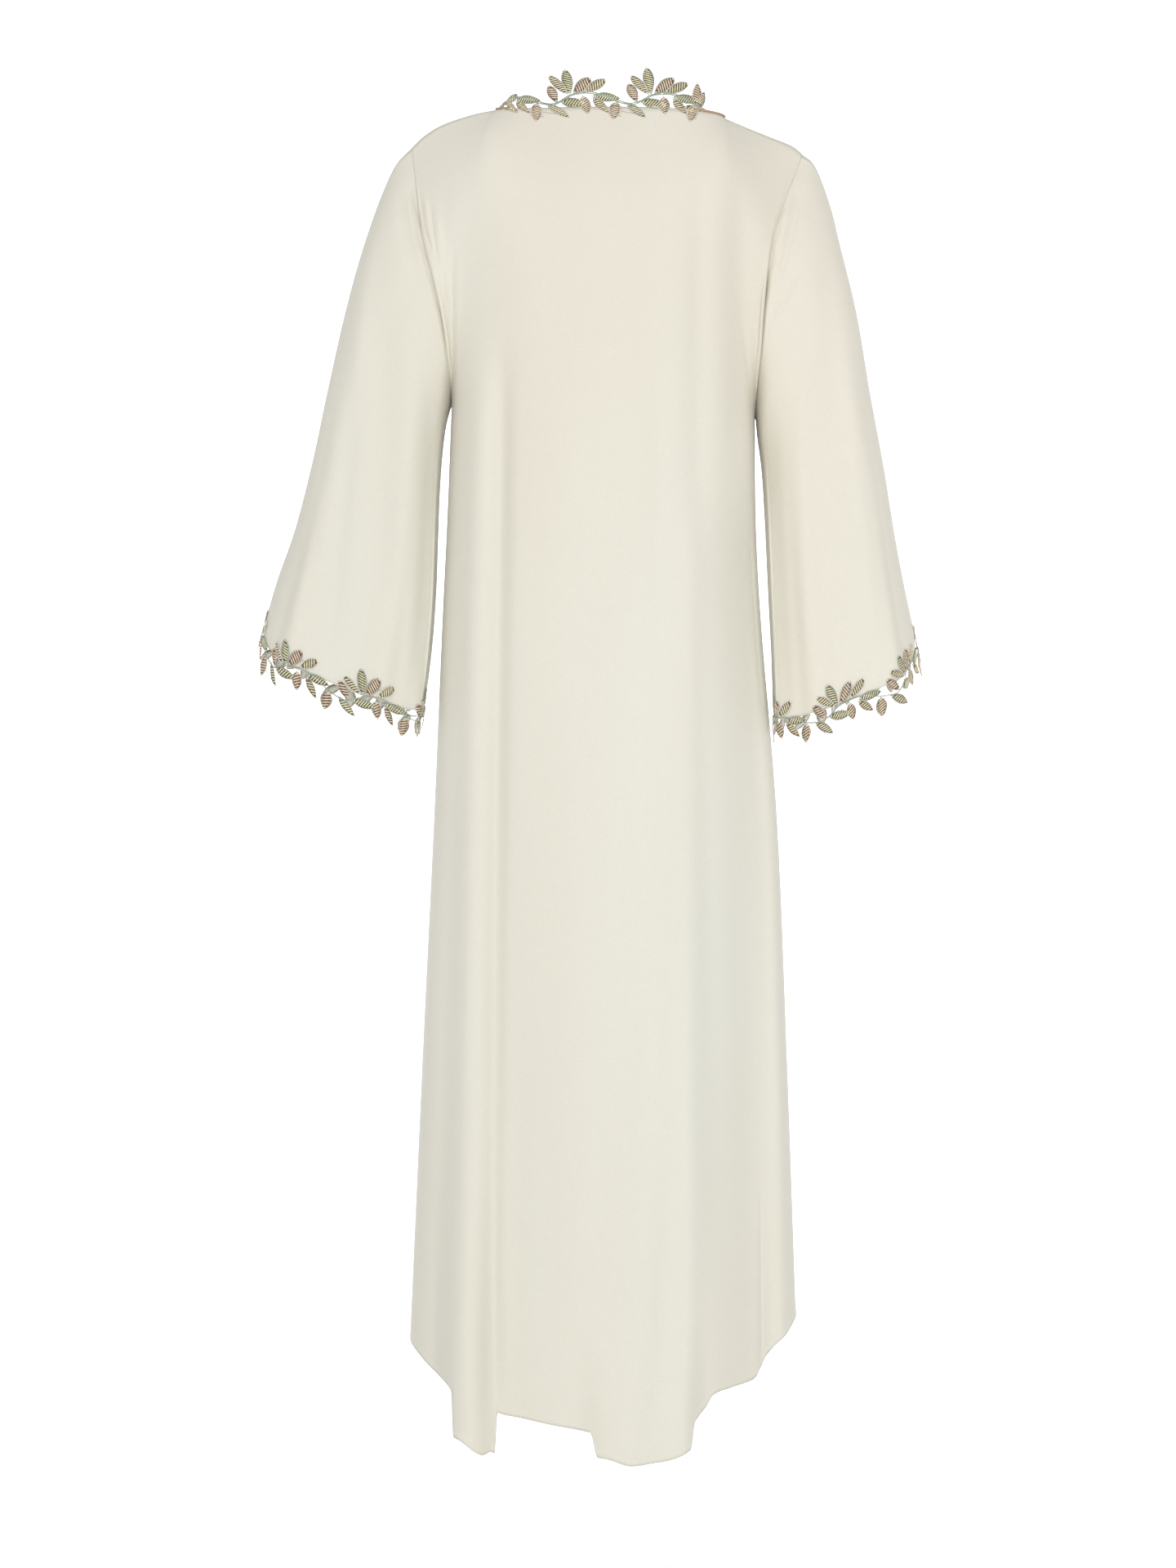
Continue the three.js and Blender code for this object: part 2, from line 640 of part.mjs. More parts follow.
/** The lace of one panel's neck edge, which stands up from the edge and laps over the cloth below it. */
function neckLace(made, phase) {
  const top = made.rows.length - 1;
  const columns = made.across.map((u, c) => c);
  const inNeck = columns.filter((c) => made.across[c] >= NECK_AT && made.across[c] <= 1 - NECK_AT);
  const walk = edgeWalk(
    inNeck.map((c) => made.rows[top][c]),
    inNeck.map((c) => made.normals[top][c]),
    inNeck.map((c) => made.rows[top][c].clone().sub(made.rows[top - 1][c]).normalize()),
  );
  const mesh = flatLace(walk.length - 2 * NECK_LACE_END, phase, NECK_LACE_BARE);
  return bentLace(mesh, (along, up, out) => {
    const { point: at, normal, fall } = walk.at(along + NECK_LACE_END);
    const above = up + NECK_LACE_UP;
    const inside = ease(Math.min(along, walk.length - along) / REPEAT);
    const upright = NECK_LACE_RISE * (NECK_LACE_LOW + (1 - NECK_LACE_LOW) * inside);
    const rise = fall.clone().add(new THREE.Vector3(0, 0, upright)).normalize();
    const way = above > 0 ? rise : fall;
    const face = normal.clone().addScaledVector(way, -normal.dot(way)).normalize();
    return at.clone().addScaledVector(way, above).addScaledVector(face, LACE_LIFT.neck + out);
  });
}

/** The lace of a cuff, whose ends meet on the inner side of the sleeve. */
function cuffLace(made, side, phase) {
  const end = made.rows.length - 1;
  const count = made.rows[0].length;
  const order = [];
  for (let i = 0; i <= count; i += 1) order.push((i + ARMHOLE_ROWS) % count);
  if (side === "right") order.reverse();
  const walk = edgeWalk(
    order.map((c) => made.rows[end][c]),
    order.map((c) => made.normals[end][c]),
    order.map((c) => made.rows[end][c].clone().sub(made.rows[end - 1][c]).normalize()),
  );
  const repeats = Math.round(walk.length / REPEAT);
  const stretch = walk.length / (repeats * REPEAT);
  const margin = 1.5;
  const mesh = flatLace(repeats * REPEAT - 2 * margin, phase, 1);
  return bentLace(mesh, (along, up, out) => {
    const { point: at, normal, fall } = walk.at((along + margin) * stretch);
    const below = -(up + CUFF_LACE_UP);
    const face = normal.clone().addScaledVector(fall, -normal.dot(fall)).normalize();
    return at.clone().addScaledVector(fall, below).addScaledVector(face, LACE_LIFT.cuff + out);
  });
}

// ---------------------------------------------------------------- the dress

const cloth = (name) => new THREE.MeshStandardMaterial({ name, color: CREAM, roughness: 0.6, metalness: 0 });
const lace = (name) => new THREE.MeshStandardMaterial({ name, color: SAGE, roughness: 0.7, metalness: 0 });

const group = new THREE.Group();

function add(name, geometry, material) {
  const mesh = new THREE.Mesh(geometry, material(`${name}_finish`));
  mesh.name = name;
  group.add(mesh);
}

const back = makePanel(PANELS.back);
const front = makePanel(PANELS.front);
add("back", back.geometry, cloth);
add("front", front.geometry, cloth);
add("neck_trim_back", neckLace(back, NECK_FAN_AT.back), lace);
add("neck_trim_front", neckLace(front, NECK_FAN_AT.front), lace);
for (const side of ["left", "right"]) {
  const sleeve = makeSleeve(side);
  add(`sleeve_${side}`, sleeve.geometry, cloth);
  add(`cuff_trim_${side}`, cuffLace(sleeve, side, CUFF_FAN_AT[side]), lace);
}

export default group;
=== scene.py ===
import math
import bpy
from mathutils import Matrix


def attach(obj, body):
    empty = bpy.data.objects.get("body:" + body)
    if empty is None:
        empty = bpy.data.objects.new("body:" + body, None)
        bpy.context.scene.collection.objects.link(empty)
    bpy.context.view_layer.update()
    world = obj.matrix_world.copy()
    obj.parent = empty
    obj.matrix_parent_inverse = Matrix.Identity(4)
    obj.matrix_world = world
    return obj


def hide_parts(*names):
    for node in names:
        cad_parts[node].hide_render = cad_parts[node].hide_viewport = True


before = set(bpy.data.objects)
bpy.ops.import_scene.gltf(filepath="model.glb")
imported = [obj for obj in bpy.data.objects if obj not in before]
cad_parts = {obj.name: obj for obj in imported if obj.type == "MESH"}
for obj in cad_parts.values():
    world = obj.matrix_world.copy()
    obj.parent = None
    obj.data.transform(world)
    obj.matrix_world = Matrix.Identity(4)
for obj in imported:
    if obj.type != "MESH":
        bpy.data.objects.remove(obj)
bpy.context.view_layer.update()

from types import SimpleNamespace

import bpy
import numpy as np

# ------------------------------------------------------------------ back
# The back is one piece of cream crepe from the shoulders to a curved, uneven hem. It is cut A-line, so
# it lies smooth over the shoulder blades and falls into soft upright folds below the hips.
# Tables are in millimetres, +Z up, the wearer's front towards -Y and the wearer's left towards +X.

MM = 0.001
SEAM_GAP = 0.3
SQUARENESS = 2.3
CLOTH_THICK = 0.9


def listed(names, *values):
    return [SimpleNamespace(**dict(zip(names.split(), row))) for row in values]


def columns(names, *values):
    return dict(zip(names.split(), np.array(values, float).T))


BODY = columns(
    "z left right back front",
    (-308, 163, 157, 112, 132),
    (-435, 168, 158.5, 108, 136),
    (-540, 173, 164, 106, 138),
    (-750, 182, 181, 111, 140),
    (-1000, 194, 191.5, 120, 145),
    (-1290, 207, 201.5, 128, 152),
)
ARMHOLE = {
    "left": [(163.1, 0, -308), (166, 52, -268), (172, 66, -226), (181, 67, -187), (191, 57, -147),
             (199, 34, -91), (206, 0, -35.5)],
    "right": [(-157.2, 0, -320), (-162, 50, -270), (-164.5, 66, -220), (-169, 66, -177), (-175, 57, -141),
              (-189, 34, -96), (-209, 0, -43)],
}
ARMHOLE_SCOOP = 7
SHOULDER = {
    "left": [(206, 0, -35.5), (193, 0, -23.5), (175, 0, -12.5), (141, 0, -1), (116, 0, 4)],
    "right": [(-209, 0, -43), (-199, 0, -35), (-172, 0, -24), (-146, 0, -13.5), (-125, 0, -4.5)],
}
NECK_AT = 0.2
NECK_SOFT = 0.2
NECK_CORNER = 8
SIDE_PULL = 4
UNDERARM_PULL = 10

# Folds that start down the back: where their middle runs across it at the top and at the hem, their
# width, the softness of their sides in the cloth and at the hem, how far they stand out, how much they
# lower the hem and the heights between which they grow.
FOLDS_BACK = listed(
    "start end wide edge cut out drop top full",
    (0.235, 0.286, 0.094, 0.04, 0.006, 0, 44, -1120, -1400),
    (0.235, 0.264, 0.098, 0.07, 0.07, 19, 0, -1040, -1400),
    (0.235, 0.275, 0.1, 0.1, 0.1, 16, 0, -420, -1250),
    (0.555, 0.556, 0.138, 0.05, 0.009, 20, 24, -1230, -1410),
    (0.58, 0.6, 0.1, 0.09, 0.09, 14, 0, -240, -1200),
    (0.43, 0.455, 0.12, 0.12, 0.12, 8, 0, -500, -1250),
    (0.7, 0.72, 0.12, 0.1, 0.1, -3, 0, -260, -1000),
    (0.73, 0.722, 0.13, 0.06, 0.014, 8, 4, -1120, -1350),
)
HEM_BACK = columns(
    "across z",
    (0, -1301), (0.1, -1308), (0.19, -1326), (0.229, -1333), (0.24, -1338), (0.262, -1342),
    (0.305, -1357), (0.322, -1355), (0.34, -1361), (0.385, -1365), (0.44, -1371), (0.486, -1376),
    (0.5, -1377), (0.526, -1384), (0.56, -1380), (0.595, -1375), (0.625, -1366), (0.64, -1358),
    (0.652, -1351), (0.663, -1338), (0.7, -1333), (0.762, -1328), (0.776, -1319), (0.8, -1309),
    (0.84, -1297), (0.92, -1281), (1, -1276),
)

# Soft troughs and ridges pressed into the cloth along a line from its upper to its lower end. A deep
# of less than 0 is a trough, and bow bends the line sideways at its middle.
CREASES_BACK = listed(
    "x0 z0 x1 z1 bow wide deep",
    (130, -230, 155, -1560, -4, 13, 6),
    (106, -230, 119, -1440, -2, 10, -9),
    (24, -560, 20, -1320, 3, 26, 3),
    (-52, -240, -54, -1180, 0, 13, -2.8),
    (-52, -1060, -16, -1460, 4, 15, -3),
    (-88, -340, -85, -1560, 0, 12, 4),
    (-151, -360, -159, -1560, 0, 31, -19),
    (-149, -270, -175, -800, 0, 11, 5),
    (-175, -560, -188, -1560, 2, 11, 9),
    (158, -230, 200, -1480, 0, 16, 3.5),
    (170, -70, 160, -300, -3, 8, -2),
    (-161, -1100, -161, -1440, 0, 2.2, -1.2),
    (-97, -20, -92, -520, 0, 12, -3.2),
    (-115, -20, -112, -480, 0, 9, 0.6),
    (-138, -50, -134, -430, 2, 12, -3),
    (-156, -120, -150, -330, 3, 8, 2),
    (-38, -876, -17, -1132, 2, 2.6, -1.1),
    (-46, -1190, -48, -1330, 0, 2.4, -0.9),
    (158, -120, 161, -370, -2, 2.2, -1.2),
    (152, -150, 155, -330, -2, 4, 0.9),
    (203, -70, 181, -150, -3, 2.4, 1.7),
    (198, -82, 177, -168, -3, 2.2, -1.8),
    (191, -86, 172, -186, -3, 2.4, 1.7),
    (184, -96, 168, -200, -3, 2.6, -1.7),
    (176, -104, 163, -236, -3, 3.2, 1.4),
    (-136, -200, -160, -420, 4, 3, -1.1),
    (60, -60, 40, -420, 8, 34, -2),
)

# How deep the side and armhole seams are drawn in: heights, then depths at those heights.
SEAM_DEPTH = {
    "left": ((-1400, -400, -320, -250, -200, -140, -70), (0.7, 0.7, 2.4, 8.5, 4, 1.3, 0.1)),
    "right": ((-1400, -400, -330, -280, -240, -180, -140, -70), (0.7, 0.7, 4, 14, 13, 4, 2.2, 0.1)),
}
SEAM_STRAIGHT_FROM = -345
SEAM_STRAIGHT_OVER = 30
BODY_SEAM_SOFT = 2.7
SLEEVE_SEAM_SOFT = 3.4
CREASE_FADE_LONG = 140
CREASE_FADE_SHARE = 0.3
FINE_COLUMN = 0.002

BACK = SimpleNamespace(
    facing=1, deep="back", folds=FOLDS_BACK, hem=HEM_BACK, neck=(56, -4), bulge=20,
    fine=((0, 0.045), (0.778, 0.8), (0.955, 1)),
)


def ease(t):
    t = np.clip(t, 0, 1)
    return t * t * (3 - 2 * t)


def smooth(xs, ys, at):
    """A smooth curve through the points (xs, ys), held level past its ends."""
    if xs[0] > xs[-1]:
        xs, ys = xs[::-1], ys[::-1]
    slopes = np.empty_like(ys)
    slopes[1:-1] = (ys[2:] - ys[:-2]) / (xs[2:] - xs[:-2])
    slopes[0] = (ys[1] - ys[0]) / (xs[1] - xs[0])
    slopes[-1] = (ys[-1] - ys[-2]) / (xs[-1] - xs[-2])
    i = np.clip(np.searchsorted(xs, at) - 1, 0, len(xs) - 2)
    step = xs[i + 1] - xs[i]
    t = np.clip((at - xs[i]) / step, 0, 1)
    between = (2 * t**3 - 3 * t**2 + 1) * ys[i] + (3 * t**2 - 2 * t**3) * ys[i + 1]
    return between + step * ((t**3 - 2 * t**2 + t) * slopes[i] + (t**3 - t**2) * slopes[i + 1])


def spline(points, share):
    """Points on a rounded line through the given ones, for shares from 0 to 1 of its length in steps."""
    points = np.array(points, float)
    points = np.concatenate([[2 * points[0] - points[1]], points, [2 * points[-1] - points[-2]]])
    count = len(points) - 3
    share = np.asarray(share, float)
    i = np.clip((share * count).astype(int), 0, count - 1)
    t = (share * count - i).reshape(share.shape + (1,) * (points.ndim - 1))
    p0, p1, p2, p3 = (points[i + k] for k in range(4))
    d0, d1, d2 = (
        np.sum((b - a) ** 2, axis=-1, keepdims=True) ** 0.25 for a, b in ((p0, p1), (p1, p2), (p2, p3))
    )
    out = ((p1 - p0) / d0 - (p2 - p0) / (d0 + d1) + (p2 - p1) / d1) * d1
    into = ((p2 - p1) / d1 - (p3 - p1) / (d1 + d2) + (p3 - p2) / d2) * d1
    return p1 + out * t + (3 * (p2 - p1) - 2 * out - into) * t**2 + (2 * (p1 - p2) + out + into) * t**3


def fold_share(fold, across, z, edge):
    grown = ease((fold.top - z) / (fold.top - fold.full))
    middle = fold.start + (fold.end - fold.start) * grown
    return grown * ease((fold.wide / 2 + edge / 2 - np.abs(across - middle)) / edge)


def body_point(panel, across, z):
    cos, sin = np.cos(np.pi * across), np.sin(np.pi * across)
    half = np.where(cos > 0, smooth(BODY["z"], BODY["left"], z), smooth(BODY["z"], BODY["right"], z))
    deep = smooth(BODY["z"], BODY[panel.deep], z)
    folds = sum(fold.out * fold_share(fold, across, z, fold.edge) for fold in panel.folds)
    x = half * np.sign(cos) * np.abs(cos) ** (2 / SQUARENESS)
    y = SEAM_GAP / 2 + deep * np.abs(sin) ** (2 / SQUARENESS) + folds
    return np.stack([x, panel.facing * y, z + 0 * x], axis=-1)


def hem_height(panel, across):
    lowered = sum(fold.drop * fold_share(fold, across, fold.full, fold.cut) for fold in panel.folds)
    return smooth(panel.hem["across"], panel.hem["z"], across) - lowered


def underarm_height(across):
    return ARMHOLE["left"][0][2] + (ARMHOLE["right"][0][2] - ARMHOLE["left"][0][2]) * across


def armhole_point(panel, side, up):
    at = spline(ARMHOLE[side], up)
    scoop = ARMHOLE_SCOOP * np.sin(np.pi * up) if panel.facing < 0 else 0
    at[..., 0] -= np.sign(at[..., 0]) * scoop
    at[..., 1] = panel.facing * (SEAM_GAP / 2 + at[..., 1])
    return at


def top_point(panel, across):
    seams = {}
    for side, share in (("left", across / NECK_AT), ("right", (1 - across) / NECK_AT)):
        seams[side] = spline(SHOULDER[side], np.clip(share, 0, 1))
        seams[side][..., 1] = panel.facing * SEAM_GAP / 2
    start, end = (np.array(SHOULDER[side][-1], float) for side in ("left", "right"))
    angle = np.pi * (across - NECK_AT) / (1 - 2 * NECK_AT)
    bend = np.clip(np.sin(angle), 0, 1)
    level = (start[2] + end[2]) / 2 + (start[2] - end[2]) / 2 * np.cos(angle)
    low_y, low_z = panel.neck
    neck = np.stack(
        [
            (start[0] + end[0]) / 2 + (start[0] - end[0]) / 2 * np.cos(angle),
            panel.facing * SEAM_GAP / 2 + (low_y - panel.facing * SEAM_GAP / 2) * bend,
            level + (low_z - level) * bend ** (1 if panel.facing > 0 else 0.9),
        ],
        axis=-1,
    )
    across = across[..., None]
    return np.where(across <= NECK_AT, seams["left"], np.where(across >= 1 - NECK_AT, seams["right"], neck))


def soft_top_point(panel, across):
    steps = 12
    at = 0
    for i in range(-steps, steps + 1):
        place = across + NECK_SOFT * i / steps
        inside = np.clip(place, 0, 1)
        there = top_point(panel, inside)
        past = (place != inside)[..., None]
        there = np.where(past, 2 * there - top_point(panel, np.clip(2 * inside - place, 0, 1)), there)
        at = at + there * (steps + 1 - abs(i)) / (steps + 1) ** 2
    return at


def upper_points(panel, across, ups):
    """Rows of points from the underarm to the top edge."""

    def straight(u):
        low = body_point(panel, u, underarm_height(u))
        soft, sharp = soft_top_point(panel, u), top_point(panel, u)
        arched = 1 - ease((np.minimum(u, 1 - u) - NECK_AT) / NECK_AT)
        rows = []
        for up in ups:
            high = soft + (sharp - soft) * up**NECK_CORNER
            lean = 1 - math.cos(math.pi / 2 * up)
            rise = up + (math.sin(math.pi / 2 * up) - up) * arched
            share = np.stack([lean + 0 * u, lean + 0 * u, rise], axis=-1)
            rows.append(low + (high - low) * share)
        return np.array(rows)

    at = straight(across)
    up = np.asarray(ups)[:, None]
    for side, edge in (("left", 0.0), ("right", 1.0)):
        pull = (1 - np.abs(across - edge)) ** (SIDE_PULL + UNDERARM_PULL * (1 - up) ** 2)
        off = armhole_point(panel, side, np.asarray(ups)) - straight(np.array([edge]))[:, 0]
        at = at + pull[..., None] * off[:, None]
    # The shoulder blades' swell, 1 at two thirds of the way up.
    swell = 6.75 * up**2 * (1 - up)
    at[..., 1] += panel.facing * panel.bulge * swell * np.sin(np.pi * across)
    return at


def normals_of(grid, closed, facing):
    """Normals at the points of a grid of rows; `closed` joins each row's ends."""
    along = np.gradient(grid, axis=0)
    if closed:
        around = (np.roll(grid, -1, axis=1) - np.roll(grid, 1, axis=1)) / 2
    else:
        around = np.gradient(grid, axis=1)
    normals = np.cross(around, along) * facing
    return normals / np.maximum(np.linalg.norm(normals, axis=-1, keepdims=True), 1e-9)


def travelled(points):
    """How far each row of points lies from the first, along the cloth or the line."""
    steps = np.linalg.norm(np.diff(points, axis=0), axis=-1)
    return np.concatenate([np.zeros((1,) + steps.shape[1:]), np.cumsum(steps, axis=0)])


def creased(grid, normals, creases):
    """The grid with each crease pressed in towards the wearer, or drawn out, along its line."""
    moved = np.zeros(grid.shape[:2])
    for crease in creases:
        start, end = np.array([crease.x0, crease.z0]), np.array([crease.x1, crease.z1])
        line = end - start
        length = np.hypot(*line)
        off = grid[..., [0, 2]] - start
        share = (off @ line) / length**2
        aside = (off @ np.array([line[1], -line[0]])) / length
        aside = aside - crease.bow * 4 * np.clip(share, 0, 1) * (1 - np.clip(share, 0, 1))
        soft = min(CREASE_FADE_SHARE, CREASE_FADE_LONG / length)
        fade = ease(share / soft) * ease((1 - share) / soft)
        moved += crease.deep * fade * np.exp(-((aside / crease.wide) ** 2))
    grid = grid.copy()
    grid[..., 1] += moved * np.clip(normals[..., 1] / 0.4, -1, 1)
    return grid


def seam_depth(side, z):
    """How far the cloth is drawn in along a seam: hardly at the shoulder, well in towards the underarm."""
    return np.interp(z, *SEAM_DEPTH[side])


def seam_way(grid, normals):
    """The way the cloth is drawn by its seams: straight into the wearer round the armholes."""
    up = ease((grid[..., 2:] - SEAM_STRAIGHT_FROM) / SEAM_STRAIGHT_OVER)
    straight = normals * 0.2
    straight[..., 1] = np.sign(grid[..., 1]) * np.clip(np.abs(grid[..., 1]) / 40, 0, 1)
    return normals * (1 - up) + straight * up


def drawn_in(away, depth, soft):
    """The cloth beside a seam: drawn in along it, with a slight ridge 8 mm away."""
    return -depth * np.exp(-((away / soft) ** 2)) + 0.12 * depth * np.exp(-(((away - 8) / 3) ** 2))


def turned_edge(away, high, sunk, soft):
    """A turned hem: half a millimetre proud up to its height, then a line of stitching sunk in."""
    return 0.5 * ease((high - away) / 2) - sunk * np.exp(-(((away - (high + 1.5)) / soft) ** 2))


def panel_grid(panel, creases, fine_across, fine_down, fine_up):
    marks = [np.linspace(0, 1, fine_across + 1), [NECK_AT, 1 - NECK_AT]]
    marks += [np.arange(low, high, FINE_COLUMN) for low, high in panel.fine]
    for fold in panel.folds:
        if fold.cut < 0.05:
            for side in (-1, 1):
                foot = fold.end + side * fold.wide / 2
                marks.append(np.arange(foot - fold.cut * 0.7, foot + fold.cut * 0.7, FINE_COLUMN))
    across = np.unique(np.round(np.concatenate(marks), 4))
    across = across[np.concatenate([[True], np.diff(across) > FINE_COLUMN / 3])]
    hem, underarm = hem_height(panel, across), underarm_height(across)
    smooth_panel = SimpleNamespace(**{**vars(panel), "folds": []})
    rows, plain = [], []
    for share in np.linspace(0, 1, fine_down, endpoint=False) ** 1.1:
        rows.append(body_point(panel, across, hem + (underarm - hem) * share))
        plain.append(body_point(smooth_panel, across, hem + (underarm - hem) * share))
    upper = upper_points(panel, across, np.linspace(0, 1, fine_up))
    grid = np.concatenate([np.array(rows), upper])
    normals = normals_of(np.concatenate([np.array(plain), upper]), False, panel.facing)
    grid = creased(grid, normals, creases)
    turned_hem = turned_edge(grid[..., 2] - hem[None, :], 9, 0.4, 1.6)
    girth = np.linalg.norm(np.diff(grid, axis=1), axis=-1)
    from_left = np.concatenate([np.zeros((len(grid), 1)), np.cumsum(girth, axis=1)], axis=1)
    drawn = 0
    for side, away in (("left", from_left), ("right", from_left[:, -1:] - from_left)):
        drawn = drawn + drawn_in(away, seam_depth(side, grid[..., 2]), BODY_SEAM_SOFT)
    return grid + normals * turned_hem[..., None] + seam_way(grid, normals) * drawn[..., None], across


def cloth_mesh(name, grid, closed, material, turned=False):
    """A thin shell of cloth from a grid of points in millimetres."""
    count_rows, count = grid.shape[:2]
    index = np.arange(count_rows * count).reshape(count_rows, count)
    beside = np.roll(index, -1, axis=1) if closed else index[:, 1:]
    here = index if closed else index[:, :-1]
    quads = np.stack([here[:-1], beside[:-1], beside[1:], here[1:]], axis=-1).reshape(-1, 4)
    if turned:
        quads = quads[:, ::-1]
    mesh = bpy.data.meshes.new(name)
    mesh.from_pydata((grid.reshape(-1, 3) * MM).tolist(), [], quads.tolist())
    mesh.polygons.foreach_set("use_smooth", [True] * len(mesh.polygons))
    mesh.materials.append(material)
    piece = bpy.data.objects.new(name, mesh)
    bpy.context.scene.collection.objects.link(piece)
    thick = piece.modifiers.new("thickness", "SOLIDIFY")
    thick.thickness = CLOTH_THICK * MM
    thick.offset = -1
    return piece


def new_group(name, inputs, outputs):
    group = bpy.data.node_groups.new(name, "ShaderNodeTree")
    for label, kind, value in inputs:
        socket = group.interface.new_socket(label, in_out="INPUT", socket_type=kind)
        if value is not None:
            socket.default_value = value
    for label, kind in outputs:
        group.interface.new_socket(label, in_out="OUTPUT", socket_type=kind)
    return group, group.nodes.new("NodeGroupInput"), group.nodes.new("NodeGroupOutput")


def node(tree, kind, **values):
    made = tree.nodes.new(kind)
    for key, value in values.items():
        if key.startswith("in_"):
            made.inputs[int(key[3:])].default_value = value
        else:
            setattr(made, key, value)
    return made


# Crepe's pebbled face: hard-twisted yarns crossing at right angles, crimped unevenly.
crepe_grain, grain_in, grain_out = new_group(
    "crepe grain",
    [("Vector", "NodeSocketVector", None), ("Pebble Scale", "NodeSocketFloat", 780.0)],
    [("Height", "NodeSocketFloat"), ("Pebble", "NodeSocketFloat")],
)
links = crepe_grain.links
pebble = node(crepe_grain, "ShaderNodeTexNoise", in_3=2.0, in_4=0.65)
yarn = dict(wave_type="BANDS", in_2=3.5, in_3=1.0)
warp = node(crepe_grain, "ShaderNodeTexWave", bands_direction="X", in_1=420.0, **yarn)
weft = node(crepe_grain, "ShaderNodeTexWave", bands_direction="Z", in_1=460.0, **yarn)
yarns = node(crepe_grain, "ShaderNodeMath", operation="MAXIMUM")
both = node(crepe_grain, "ShaderNodeMath", operation="MULTIPLY_ADD", in_1=0.35)
links.new(grain_in.outputs["Vector"], pebble.inputs["Vector"])
links.new(grain_in.outputs["Pebble Scale"], pebble.inputs["Scale"])
links.new(grain_in.outputs["Vector"], warp.inputs["Vector"])
links.new(grain_in.outputs["Vector"], weft.inputs["Vector"])
links.new(warp.outputs["Fac"], yarns.inputs[0])
links.new(weft.outputs["Fac"], yarns.inputs[1])
links.new(yarns.outputs[0], both.inputs[0])
links.new(pebble.outputs["Fac"], both.inputs[2])
links.new(both.outputs[0], grain_out.inputs["Height"])
links.new(pebble.outputs["Fac"], grain_out.inputs["Pebble"])

# Cream cloth takes its dye a little unevenly: long upright bands, some warmer and some greener. On the
# whole the colour is also warmer and a little darker towards the shoulders.
dye_bands, dye_in, dye_out = new_group(
    "dye bands",
    [
        ("Vector", "NodeSocketVector", None),
        ("Cool", "NodeSocketColor", (0.8, 0.8, 0.7, 1)),
        ("Warm", "NodeSocketColor", (0.8, 0.75, 0.65, 1)),
        ("Shift", "NodeSocketFloat", 0.0),
        ("Height", "NodeSocketFloat", 0.0),
    ],
    [("Color", "NodeSocketColor")],
)
links = dye_bands.links
fade = node(dye_bands, "ShaderNodeMapRange", in_1=-0.95, in_2=-0.15, in_3=-0.28, in_4=0.34)
drift = node(dye_bands, "ShaderNodeMath", operation="ADD", use_clamp=True)
stretch = node(dye_bands, "ShaderNodeVectorMath", operation="MULTIPLY", in_1=(10.0, 4.0, 1.3))
bands = node(dye_bands, "ShaderNodeTexNoise", noise_dimensions="4D", in_3=1.5, in_4=0.4)
bands.inputs["Scale"].default_value = 1.0
spread = node(dye_bands, "ShaderNodeMapRange", in_1=0.22, in_2=0.78)
tint = node(dye_bands, "ShaderNodeMix", data_type="RGBA")
links.new(dye_in.outputs["Vector"], stretch.inputs[0])
links.new(stretch.outputs[0], bands.inputs["Vector"])
links.new(dye_in.outputs["Shift"], bands.inputs["W"])
links.new(bands.outputs["Fac"], spread.inputs["Value"])
links.new(dye_in.outputs["Height"], fade.inputs["Value"])
links.new(spread.outputs[0], drift.inputs[0])
links.new(fade.outputs[0], drift.inputs[1])
links.new(drift.outputs[0], tint.inputs[0])
links.new(dye_in.outputs["Cool"], tint.inputs[6])
links.new(dye_in.outputs["Warm"], tint.inputs[7])
links.new(tint.outputs[2], dye_out.inputs["Color"])


